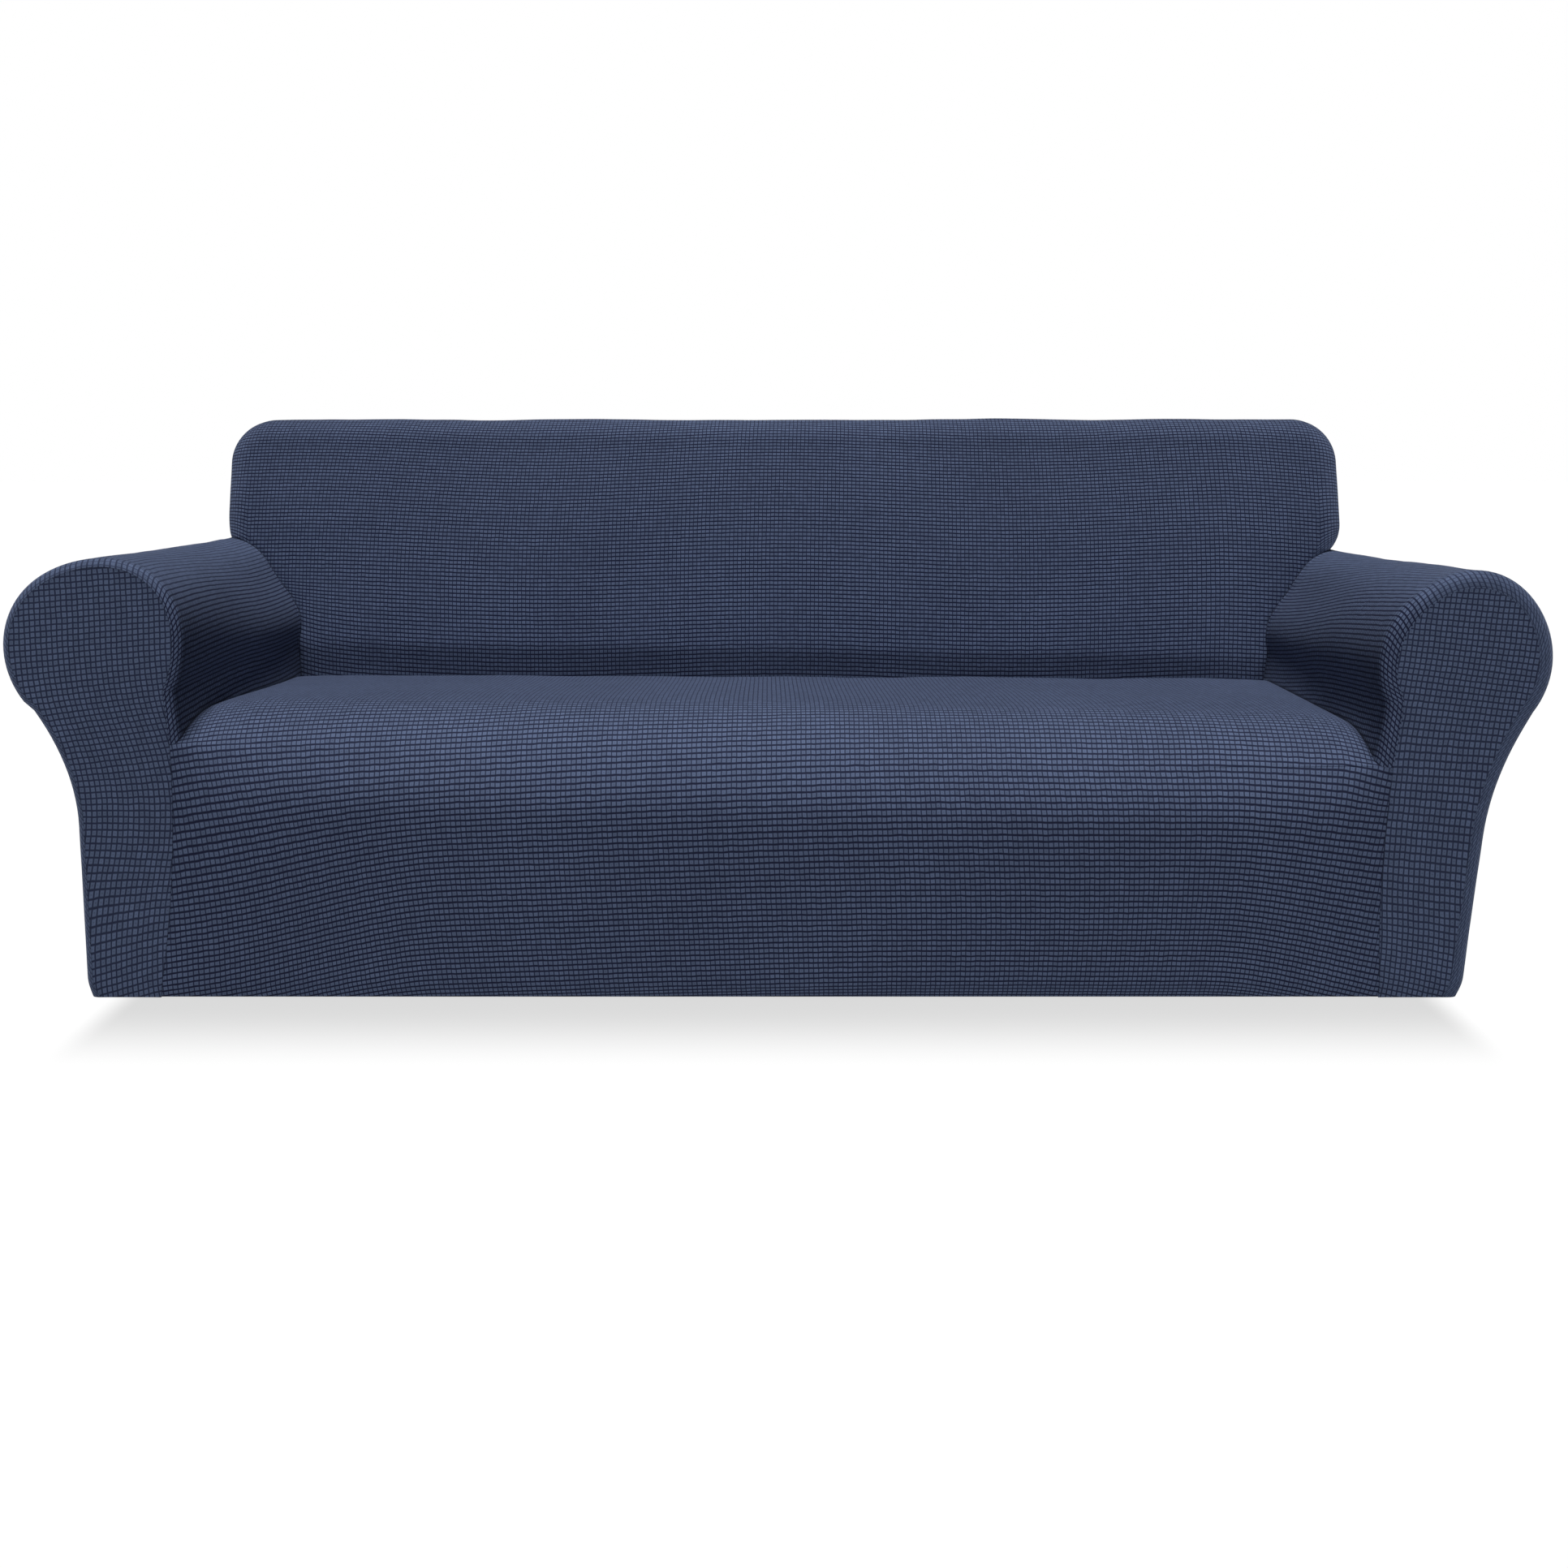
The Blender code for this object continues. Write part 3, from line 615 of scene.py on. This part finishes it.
def back_columns(x, z):
    """Columns on the inside back: drawn together towards the top, and wider near the right end."""
    count = count_along(-1.3, 1.3, lambda place: column_pitch(place, BACK_SPREADS) - COLUMN * BACK_LEFT_CLOSER
                        * smooth((BACK_LEFT_FROM - place) / BACK_LEFT_OVER))
    lean = np.interp(x, [fan.across for fan in BACK_FAN], [fan.lean for fan in BACK_FAN])
    rise = np.clip((z - FAN_FOOT) / FAN_HEIGHT, 0.0, FAN_END)
    return count(x) - np.tan(np.radians(lean)) * FAN_HEIGHT * rise ** FAN_CURVE / FAN_CURVE / COLUMN


WAVE_HEIGHT, WAVE_START, WAVE_LENGTH = 0.0055, -0.66, 0.86
RIGHT_END, RIGHT_SINKS = 0.80, 0.05             # beyond this the rows sink by this share
LEFT_END, LEFT_LIFT, LEFT_REACH = -0.90, 0.025, 0.06    # near this they rise, below the next height
LIFT_FROM, LIFT_BELOW, LIFT_FADE = -0.95, 0.60, 0.10
BACK_ROW, BACK_ROW_LESS = 0.0077, 0.0019        # pitch at the foot, and how much less it is near the top
CLOSER_FROM, CLOSER_OVER, CLOSER_END, CLOSER_CURVE = 0.45, 0.35, 1.05, 1.8


def back_rows(x, z):
    """Rows on the inside back: closer towards the top, in slow waves across it."""
    wave = -WAVE_HEIGHT * np.sin(2 * math.pi * (x - WAVE_START) / WAVE_LENGTH)
    wave = wave - RIGHT_SINKS * np.clip(x - RIGHT_END, 0.0, None)
    lift = np.exp(-(x - LEFT_END) / LEFT_REACH) * (x > LIFT_FROM)
    wave = wave + LEFT_LIFT * lift * smooth((LIFT_BELOW - z) / LIFT_FADE)

    def pitch(place):
        rise = np.clip((place - CLOSER_FROM) / CLOSER_OVER, 0.0, CLOSER_END)
        return BACK_ROW - BACK_ROW_LESS * rise ** CLOSER_CURVE

    return count_along(0.2, 1.3, pitch)(z - wave)


Knit = namedtuple("Knit", "height row row_rise lean")    # pitch of the rows in millimetres
ARM_FRONT_COLUMN = 0.0078
LEFT_FRONT = (Knit(0.70, 8.3, 4.0, -2.0),
              Knit(0.55, 8.3, 5.0, 4.0),
              Knit(0.49, 8.6, 6.0, -1.0),
              Knit(0.42, 8.6, 8.0, -16.0),
              Knit(0.36, 8.9, 6.5, -10.5),
              Knit(0.29, 9.4, 0.0, 3.5),
              Knit(0.21, 11.4, -2.0, 14.0),
              Knit(0.13, 13.8, 10.0, 9.5),
              Knit(0.05, 11.2, 16.5, 3.5),
              Knit(0.00, 10.2, 17.0, 3.5))
RIGHT_FRONT = (Knit(0.70, 7.9, -2.0, 10.0),
               Knit(0.55, 8.4, -5.0, 2.0),
               Knit(0.49, 8.7, -7.0, 7.0),
               Knit(0.42, 10.1, -5.0, 6.0),
               Knit(0.36, 11.6, -3.0, 1.5),
               Knit(0.29, 12.2, -5.5, 2.0),
               Knit(0.21, 11.8, -6.3, -0.5),
               Knit(0.13, 11.6, -7.7, -5.0),
               Knit(0.05, 9.9, -13.0, 1.5),
               Knit(0.00, 9.3, -15.0, 2.0))
COUNTED_AT = 0.3                # the columns are counted from the arm's middle at this height


def arm_front_cells(knits, x, z, middle):
    """Rows and columns of an arm's front, whose rows rise to the right and whose columns lean."""
    heights = [knit.height for knit in reversed(knits)]

    def at(place, column):
        return np.interp(place, heights, [getattr(knit, column) for knit in reversed(knits)])

    rows = count_along(-0.1, 0.8, lambda place: at(place, "row") / 1000)
    lean = count_along(-0.1, 0.8, lambda place: 1.0 / np.tan(np.radians(at(place, "lean") + TINY)))
    rise = np.tan(np.radians(at(z, "row_rise")))
    across = (x - middle - lean(z) + lean(COUNTED_AT)) / ARM_FRONT_COLUMN
    return np.stack((across, rows(z - rise * (x - middle))), axis=-1)


# ---- the panels ---------------------------------------------------------------------------------------
SEAT_OPEN_AND_TOP_LIGHT = ((0.30, 0.42), (1.0, 0.95))         # heights, and the channels' openness there; less on the seat top as painted light, which lightens its channels
SLEEVE_OPEN, SLEEVE_INNER_SHADE = 0.75, 1.00       # on top, and how much more on the inner side below the roll, as painted shade
SLEEVE_SHADE_BELOW, SLEEVE_SHADE_OVER = 0.64, 0.10
ARM_FRONT_OPEN = 0.85
BACK_OPEN = 1.0
SLEEVE_TWISTS = {LEFT: -0.045, RIGHT: 0.11}     # how far the rows turn round the arm, per metre along it
SLEEVE_COLUMN, SLEEVE_WIDENS_FROM, SLEEVE_WIDENS_OVER = 0.0055, 0.015, 0.04     # at the scroll's edge
SLEEVE_ROW, SLEEVE_ROW_LESS, SLEEVE_ROW_OVER = 0.0082, 0.0009, 0.40     # at the front, less to the rear
OUTSIDE_ROW = 0.0085
NOTCH_ROWS = 16                 # rows of the outside back above and below the notch over each arm
NOTCH_REACH = 3.0               # how many columns its shape reaches inwards


def alike(share):
    """Channels that are open alike all over a panel."""
    return lambda points: np.full(len(points), share)


def in_frame(*place):
    return tuple(np.array(place) + SEWING_TO_FRAME)


SEAT_FOLDS = (Fold(in_frame(0.838, 0.20, 0.418), in_frame(0.816, -0.005, 0.25), 0.0022, 0.010),
              Fold(in_frame(-0.802, 0.22, 0.436), in_frame(-0.790, 0.04, 0.415), 0.0016, 0.012))
BACK_FOLDS = (Fold(in_frame(0.878, 0.623, 0.384), in_frame(0.780, 0.624, 0.404), 0.0030, 0.0050),
              Fold(in_frame(0.878, 0.623, 0.390), in_frame(0.790, 0.627, 0.418), 0.0030, 0.0055),
              Fold(in_frame(0.878, 0.624, 0.398), in_frame(0.805, 0.631, 0.436), 0.0020, 0.0060))
LEFT_FRONT_FOLDS = (Fold(in_frame(-1.070, 0.0, 0.621), in_frame(-0.985, 0.0, 0.626), -0.0012, 0.0045),)
RIGHT_FRONT_FOLDS = (Fold(in_frame(0.925, 0.0, 0.617), in_frame(0.953, 0.0, 0.597), -0.0024, 0.0045),)


def seat_and_front(left_edge, right_edge):
    grid = seat_grid(left_edge, right_edge)
    x, z = grid[..., 0], grid[..., 2]
    lengths = running_length(grid[..., 1:], 0)
    rows = seat_rows(x, z, lengths / lengths[-1], x - x[:, :1], x[:, -1:] - x)
    columns = seat_columns(x, z) + DECK_LEAN * np.clip(grid[..., 1] - DECK_FROM, 0.0, None) / COLUMN
    cells = np.stack((columns, rows), axis=-1)
    sheet = sew_grids([lay_grid("seat_and_front_cloth", grid, cells)], "seat_and_front_cloth", True)
    return finish_cloth(sheet, SEAT_FOLDS, lambda points: np.interp(points[:, 2], *SEAT_OPEN_AND_TOP_LIGHT)), grid


def sleeve(arm, name, front, rear):
    """Rows run along the arm, closer together towards the rear. Columns are closest at the scroll."""
    columns = count_along(0.0, 1.5, lambda place: SLEEVE_COLUMN + (COLUMN - SLEEVE_COLUMN) * smooth(
        (place - SLEEVE_WIDENS_FROM) / SLEEVE_WIDENS_OVER))
    around = running_length(front, 1)
    around -= around[:, CREST:CREST + 1]
    depth = running_length(front, 0)
    rear_depth = running_length(rear, 0) + depth[-1, CREST:]
    pieces = []
    for label, grid, rounds, depths in (("_front", front, around, depth),
                                        ("_rear", rear, running_length(rear, 1), rear_depth)):
        pitch = SLEEVE_ROW - SLEEVE_ROW_LESS * smooth(depths / SLEEVE_ROW_OVER)
        twisted = rounds - SLEEVE_TWISTS[arm] * (SEAT_CREASE_Y - depths)
        cells = np.stack((columns(depths) + 0.5, -twisted / pitch), axis=-1)
        pieces.append(lay_grid(name + label, grid, cells))

    # painted shade: the channels widen and darken on the arm's inner side below the roll, where shade falls
    def opened_and_shaded(points):
        inward = smooth((arm.centre - arm.side * points[:, 0]) / arm.radius)
        return SLEEVE_OPEN + SLEEVE_INNER_SHADE * inward * smooth(
            (SLEEVE_SHADE_BELOW - points[:, 2]) / SLEEVE_SHADE_OVER)

    return finish_cloth(sew_grids(pieces, name, arm.side > 0), (), opened_and_shaded)


def arm_front(arm, name, scroll, seam, knits, folds):
    """The scroll and the wall below it, inside the sleeve's front edge, the seat's seam and the hem."""
    side_steps = (SECTION_STEPS + FRONT_STEPS - ARCH_STEPS) // 2
    inner_top = side_steps - FRONT_STEPS
    outer_top = SECTION_STEPS - side_steps
    inner = np.concatenate((seam[::-1], scroll[1:inner_top + 1]))
    outer = scroll[:outer_top - 1:-1]
    arch = scroll[inner_top:outer_top + 1]
    hem = np.linspace(inner[0], outer[0], len(arch))
    grid = fill_between(hem, arch, inner, outer)
    cells = arm_front_cells(knits, grid[..., 0], grid[..., 2], arm.side * arm.centre)
    sheet = sew_grids([lay_grid(name, grid, cells)], name, arm.side > 0)
    return finish_cloth(sheet, folds, alike(ARM_FRONT_OPEN))


def inside_back(rings, low):
    """The leaning face, and the wrap over its top and round its sides, on which the knit runs on."""
    side_rows = BACK_SIDE_STEPS + CORNER_STEPS
    face = fill_between(low, rings[0][side_rows:-side_rows], rings[0][:side_rows + 1],
                        rings[0][:-side_rows - 2:-1])
    face[1:-1, 1:-1, 1] = back_face(face[1:-1, 1:-1, 0], face[1:-1, 1:-1, 2])
    flat = np.stack((back_columns(face[..., 0], face[..., 2]),
                     back_rows(face[..., 0], face[..., 2])), axis=-1)
    edge = rings[0][:, [0, 2]]
    away = running_length(rings, 0)
    outward = np.gradient(edge, axis=0)
    outward = np.column_stack((-outward[:, 1], outward[:, 0]))
    outward /= np.linalg.norm(outward, axis=1)[:, None]
    spread = edge[None] + away[:, :, None] * outward[None]
    wrapped = np.stack((back_columns(spread[..., 0], spread[..., 1]),
                        back_rows(spread[..., 0], spread[..., 1])), axis=-1)
    pieces = [lay_grid("back_face", face, flat), lay_grid("back_wrap", rings, wrapped)]
    sheet = sew_grids(pieces, "inside_back_cloth", False)
    return finish_cloth(sheet, BACK_FOLDS, alike(BACK_OPEN))


def outside_back(left_rear, right_rear, last_ring):
    """The flat rear panel. Its rows rise evenly inside the notches over the arms."""
    side_rows = BACK_SIDE_STEPS + CORNER_STEPS
    left = np.concatenate((left_rear[-1][::-1], last_ring[1:side_rows + 1]))
    right = np.concatenate((right_rear[-1][::-1], last_ring[-2:-side_rows - 2:-1]))
    top = last_ring[side_rows:-side_rows]
    low = np.linspace(left[0], right[0], len(top))
    notch = SECTION_STEPS - CREST
    around = slice(notch - NOTCH_ROWS, notch + NOTCH_ROWS + 1)
    even_left, even_right = left.copy(), right.copy()
    for edge in (even_left, even_right):
        edge[around, 2] = np.linspace(edge[around][0, 2], edge[around][-1, 2], 2 * NOTCH_ROWS + 1)
    grid = fill_between(low, top, even_left, even_right)
    near = np.exp(-np.arange(len(top)) / NOTCH_REACH)[None, :, None]
    grid += (left - even_left)[:, None] * near + (right - even_right)[:, None] * near[:, ::-1]
    cells = np.stack((-grid[..., 0] / COLUMN, grid[..., 2] / OUTSIDE_ROW), axis=-1)
    piece = sew_grids([lay_grid("outside_back_cloth", grid, cells)], "outside_back_cloth", True)
    return finish_cloth(piece, (), alike(BACK_OPEN))


# ---- the knit's finish --------------------------------------------------------------------------------
CELL_COLOUR = (0.100, 0.134, 0.232, 1.0)
# painted shade: the channels between the raised squares get this dark colour in place of their shadow
CHANNEL_SHADE_COLOUR = (0.009, 0.012, 0.038, 1.0)
# a seam's dark stitching together with painted contact shade
SEAM_AND_SHADOW_COLOUR = (0.006, 0.008, 0.020, 1.0)
SHEEN_TINT = (0.55, 0.68, 1.0, 1.0)
Channels = namedtuple("Channels", "column row column_depth relief")      # widths are shares of a pitch
SEAT_CHANNELS = Channels(0.19, 0.27, 0.85, 0.0003)
SLEEVE_CHANNELS = Channels(0.18, 0.25, 0.8, 0.0001)
ARM_FRONT_CHANNELS = Channels(0.22, 0.22, 1.0, 0.0003)
CHANNEL_BED = 0.3               # share of a channel's width that is darkest
STRAY, STRAY_SCALE = 0.30, 0.45         # how far the squares stray, in pitches, and the noise's scale
DIMPLE_RIM, DIMPLE_BED = 0.16, 0.02     # distances from the middle of a square, in pitches
THREAD_SCALE, WEAR_SCALE = 9.0, 4.0
# DIMPLE_SHADE is painted shade that darkens each square's dimple; the other three are the knit's own uneven
# tone
SQUARE_SHADE, THREAD_SHADE, WEAR_SHADE, DIMPLE_SHADE = 0.22, 0.55, 0.30, -0.40
DIMPLE_RELIEF, THREAD_RELIEF = -0.25, 0.25


class Shader:
    """Adds nodes to one material. Each call gives the new node's output socket."""

    def __init__(self, name):
        self.material = bpy.data.materials.new(name)
        self.material.use_nodes = True
        self.tree = self.material.node_tree
        self.surface = self.tree.nodes["Principled BSDF"]

    def add(self, kind, inputs, output=0, **settings):
        node = self.tree.nodes.new(kind)
        for name, value in settings.items():
            setattr(node, name, value)
        for place, value in inputs.items():
            if isinstance(value, bpy.types.NodeSocket):
                self.tree.links.new(value, node.inputs[place])
            else:
                node.inputs[place].default_value = value
        return node.outputs[output]

    def link(self, value, place):
        self.tree.links.new(value, self.surface.inputs[place])

    def set(self, values):
        for place, value in values.items():
            self.surface.inputs[place].default_value = value

    def maths(self, operation, *values):
        return self.add("ShaderNodeMath", dict(enumerate(values)), operation=operation)

    def fade(self, value, start, end):
        """0 before start and 1 past end."""
        return self.add("ShaderNodeMapRange", {"Value": value, "From Min": start, "From Max": end},
                        interpolation_type="SMOOTHSTEP")

    def mix(self, share, first, second):
        return self.add("ShaderNodeMix", {0: share, 6: first, 7: second}, 2, data_type="RGBA")


def knit_finish(name, channels):
    """Raised squares with a dimple each, between channels; painted shade darkens the channels and dimples."""
    knit = Shader(name)
    cells = knit.add("ShaderNodeUVMap", {}, uv_map="cells")
    slow = knit.add("ShaderNodeTexNoise", {"Vector": cells, "Scale": STRAY_SCALE, "Detail": 2.0}, 1)
    stray = knit.add("ShaderNodeVectorMath", {0: slow, 1: (0.5, 0.5, 0.5)}, operation="SUBTRACT")
    stray = knit.add("ShaderNodeVectorMath", {0: stray, 1: (STRAY, STRAY, 0.0)}, operation="MULTIPLY")
    place = knit.add("ShaderNodeVectorMath", {0: cells, 1: stray}, operation="ADD")
    square = knit.add("ShaderNodeVectorMath", {0: place}, operation="FLOOR")
    inside = knit.add("ShaderNodeVectorMath", {0: place, 1: square}, operation="SUBTRACT")
    across = knit.add("ShaderNodeSeparateXYZ", {0: inside}, 0)
    down = across.node.outputs[1]
    from_column = knit.maths("ABSOLUTE", knit.maths("SUBTRACT", across, 0.5))
    from_row = knit.maths("ABSOLUTE", knit.maths("SUBTRACT", down, 0.5))
    in_column = knit.fade(from_column, 0.5 - channels.column, 0.5 - CHANNEL_BED * channels.column)
    in_row = knit.fade(from_row, 0.5 - channels.row, 0.5 - CHANNEL_BED * channels.row)
    channel = knit.maths("MAXIMUM", knit.maths("MULTIPLY", in_column, channels.column_depth), in_row)
    # the channels' openness, which also carries painted shade and painted light from the panels
    channel = knit.maths("MULTIPLY", channel, knit.add("ShaderNodeAttribute", {}, 2, attribute_name="open_and_shaded"))

    middle = knit.add("ShaderNodeCombineXYZ", {0: from_column, 1: from_row})
    middle = knit.add("ShaderNodeVectorMath", {0: middle}, 1, operation="LENGTH")
    dimple = knit.fade(middle, DIMPLE_RIM, DIMPLE_BED)
    own = knit.add("ShaderNodeTexWhiteNoise", {"Vector": square}, 0)
    threads = knit.add("ShaderNodeTexNoise", {"Vector": cells, "Scale": THREAD_SCALE, "Detail": 3.0,
                                              "Roughness": 0.7}, 0)
    places = knit.add("ShaderNodeTexCoord", {}, 3)
    wear = knit.add("ShaderNodeTexNoise", {"Vector": places, "Scale": WEAR_SCALE, "Detail": 3.0}, 0)

    shade = knit.maths("MULTIPLY_ADD", knit.maths("SUBTRACT", own, 0.5), SQUARE_SHADE, 1.0)
    shade = knit.maths("MULTIPLY_ADD", knit.maths("SUBTRACT", threads, 0.5), THREAD_SHADE, shade)
    shade = knit.maths("MULTIPLY_ADD", knit.maths("SUBTRACT", wear, 0.5), WEAR_SHADE, shade)
    # painted shade in each square's dimple
    shade = knit.maths("MULTIPLY_ADD", dimple, DIMPLE_SHADE, shade)
    cell = knit.add("ShaderNodeVectorMath", {0: CELL_COLOUR[:3], "Scale": shade}, operation="SCALE")
    # painted shade: the channels take the dark colour
    colour = knit.mix(channel, cell, CHANNEL_SHADE_COLOUR)
    # a dark line along seams and hems, partly painted contact shade
    seam = knit.add("ShaderNodeAttribute", {}, 2, attribute_name="seam")
    colour = knit.mix(seam, colour, SEAM_AND_SHADOW_COLOUR)
    knit.link(colour, "Base Color")

    height = knit.maths("SUBTRACT", 1.0, channel)
    height = knit.maths("MULTIPLY_ADD", dimple, DIMPLE_RELIEF, height)
    height = knit.maths("MULTIPLY_ADD", threads, THREAD_RELIEF, height)
    relief = knit.add("ShaderNodeBump", {"Height": height, "Distance": channels.relief, "Strength": 0.5})
    knit.link(relief, "Normal")
    knit.set({"Roughness": 0.92, "Specular IOR Level": 0.25, "Sheen Weight": 0.03, "Sheen Roughness": 0.5,
              "Sheen Tint": SHEEN_TINT})
    return knit.material


# ---- light, floor and camera --------------------------------------------------------------------------
AMBIENT = 0.03
SUN_WIDTH = math.radians(15)
Sun = namedtuple("Sun", "name place aim power")
SUNS = (Sun("ceiling", (0.0, 0.0, 6.0), (0.0, 0.0, 0.0), 2.3),
        Sun("front", (0.0, -5.0, 2.33), (0.0, 0.0, 0.0), 0.55),
        Sun("behind", (0.0, 5.0, 0.7), (0.0, 0.0, 0.0), 1.30))
Softbox = namedtuple("Softbox", "name place aim size power")
SOFTBOXES = (Softbox("low_far", (0.0, -6.0, 0.1), (0.0, -0.4, 0.3), (3.0, 0.3), 105.0),
             Softbox("low_near", (0.0, -2.5, 0.1), (0.0, -0.4, 0.3), (2.6, 0.2), 3.0),
             Softbox("left_side", (-3.5, 0.1, 0.3), (-1.1, 0.1, 0.3), (1.0, 0.3), 30.0),
             Softbox("right_side", (3.5, 0.1, 0.3), (1.1, 0.1, 0.3), (1.0, 0.3), 30.0),
             Softbox("overhead", (0.0, -0.5, 2.3), (0.0, -0.5, 0.0), (1.0, 0.4), 4.0))
FLOOR_SIZE, FLOOR_HEIGHT = 60.0, -0.002
FLOOR_COLOUR = (0.02, 0.02, 0.02, 1.0)
WHITE = (1.0, 1.0, 1.0, 1.0)
Fade = namedtuple("Fade", "none full")
SHADOW_BEFORE = Fade(-0.30, -0.02)        # depths from the cover's front between which the painted shadow comes in
SHADOW_BEHIND = Fade(0.40, 0.20)
SHADOW_BESIDE = Fade(1.02, 0.96)          # distances from the middle
SHADOW_DARKNESS = -0.31                            # what the floor loses where the painted shadow is full
EYE = (0.028, -2.845, 0.827)
LOOKS_DOWN = math.radians(11.7)
LENS, SENSOR, SHIFT = 38.31, 36.0, -0.00885


def white_floor():
    """A floor as white as the background, with a painted soft shadow and reflection of the cover in front of
    the hem.
    """
    bpy.ops.mesh.primitive_plane_add(size=FLOOR_SIZE, location=(0.0, 0.0, FLOOR_HEIGHT))
    floor = bpy.context.object
    floor.name = "floor"
    floor.visible_diffuse = False
    floor.visible_glossy = False
    paint = Shader("white_floor")
    place = paint.add("ShaderNodeTexCoord", {}, 3)
    across = paint.add("ShaderNodeSeparateXYZ", {0: place}, 0)
    depth = across.node.outputs[1]
    before = paint.fade(depth, packed_low[1] + SHADOW_BEFORE.none, packed_low[1] + SHADOW_BEFORE.full)
    behind = paint.fade(depth, packed_low[1] + SHADOW_BEHIND.none, packed_low[1] + SHADOW_BEHIND.full)
    beside = paint.fade(paint.maths("ABSOLUTE", across), SHADOW_BESIDE.none, SHADOW_BESIDE.full)
    # painted shadow and reflection of the cover on the floor, in front of the hem
    shadow_patch = paint.maths("MULTIPLY", paint.maths("MULTIPLY", before, behind), beside)
    painted_shadow = paint.maths("MULTIPLY", shadow_patch, SHADOW_DARKNESS)
    paint.link(paint.maths("ADD", painted_shadow, 1.0), "Emission Strength")
    paint.set({"Base Color": FLOOR_COLOUR, "Roughness": 1.0, "Specular IOR Level": 0.0,
               "Emission Color": WHITE})
    floor.data.materials.append(paint.material)


def lamp(name, kind, place, aim, energy):
    light = bpy.data.lights.new(name, kind)
    light.energy = energy
    holder = bpy.data.objects.new(name, light)
    holder.location = place
    holder.rotation_euler = (Vector(aim) - Vector(place)).to_track_quat("-Z", "Y").to_euler()
    bpy.context.scene.collection.objects.link(holder)
    return light


def studio():
    """Soft light mostly from straight above, with weaker light from in front, both sides and behind."""
    scene = bpy.context.scene
    scene.view_settings.view_transform = "Standard"
    world = bpy.data.worlds.new("studio")
    world.use_nodes = True
    nodes, links = world.node_tree.nodes, world.node_tree.links
    nodes["Background"].inputs["Color"].default_value = WHITE
    seen = nodes.new("ShaderNodeLightPath")
    strength = nodes.new("ShaderNodeMapRange")
    strength.inputs["To Min"].default_value = AMBIENT
    strength.inputs["To Max"].default_value = 1.0
    links.new(seen.outputs["Is Camera Ray"], strength.inputs["Value"])
    links.new(strength.outputs[0], nodes["Background"].inputs["Strength"])
    scene.world = world
    for sun in SUNS:
        lamp(sun.name, "SUN", sun.place, sun.aim, sun.power).angle = SUN_WIDTH
    for box in SOFTBOXES:
        light = lamp(box.name, "AREA", box.place, box.aim, box.power)
        light.shape = "RECTANGLE"
        light.size, light.size_y = box.size


def camera():
    lens = bpy.data.cameras.new("camera")
    lens.lens = LENS
    lens.sensor_width = SENSOR
    lens.shift_x = SHIFT
    eye = bpy.data.objects.new("camera", lens)
    eye.location = EYE
    eye.rotation_euler = (math.pi / 2 - LOOKS_DOWN, 0.0, 0.0)
    bpy.context.scene.collection.objects.link(eye)
    bpy.context.scene.camera = eye


def main():
    camera()
    studio()
    white_floor()
    sleeves = {arm: arm_sleeve(arm) for arm in (LEFT, RIGHT)}
    seams = {arm: front_seam(arm, sleeves[arm][0][0][0]) for arm in (LEFT, RIGHT)}
    edges = {arm: np.concatenate((sleeves[arm][0][::-1, 0], seams[arm][1:])) for arm in (LEFT, RIGHT)}
    seat, seat_places = seat_and_front(edges[LEFT], edges[RIGHT])
    made = {"seat_and_front": seat}
    for arm, side, knits, folds in ((LEFT, "left", LEFT_FRONT, LEFT_FRONT_FOLDS),
                                    (RIGHT, "right", RIGHT_FRONT, RIGHT_FRONT_FOLDS)):
        front, rear = sleeves[arm]
        made["arm_sleeve_" + side] = sleeve(arm, "arm_sleeve_" + side + "_cloth", front, rear)
        made["arm_front_" + side] = arm_front(arm, "arm_front_" + side + "_cloth", front[0], seams[arm],
                                               knits, folds)
    rings = back_wrap(sleeves[LEFT][1], sleeves[RIGHT][1])
    low = np.concatenate((sleeves[LEFT][0][-1][CREST::-1], seat_places[0][1:-1],
                          sleeves[RIGHT][0][-1][:CREST + 1]))
    made["inside_back"] = inside_back(rings, low)
    made["outside_back"] = outside_back(sleeves[LEFT][1], sleeves[RIGHT][1], rings[-1])
    knits = {"arm_front": knit_finish("navy_knit_arm_fronts", ARM_FRONT_CHANNELS),
             "arm_sleeve": knit_finish("navy_knit_sleeves", SLEEVE_CHANNELS)}
    seat_knit = knit_finish("navy_knit", SEAT_CHANNELS)
    for node, piece in made.items():
        piece.data.materials.append(knits.get(node.rsplit("_", 1)[0], seat_knit))
        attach(piece, "root")
        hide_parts(node)


main()
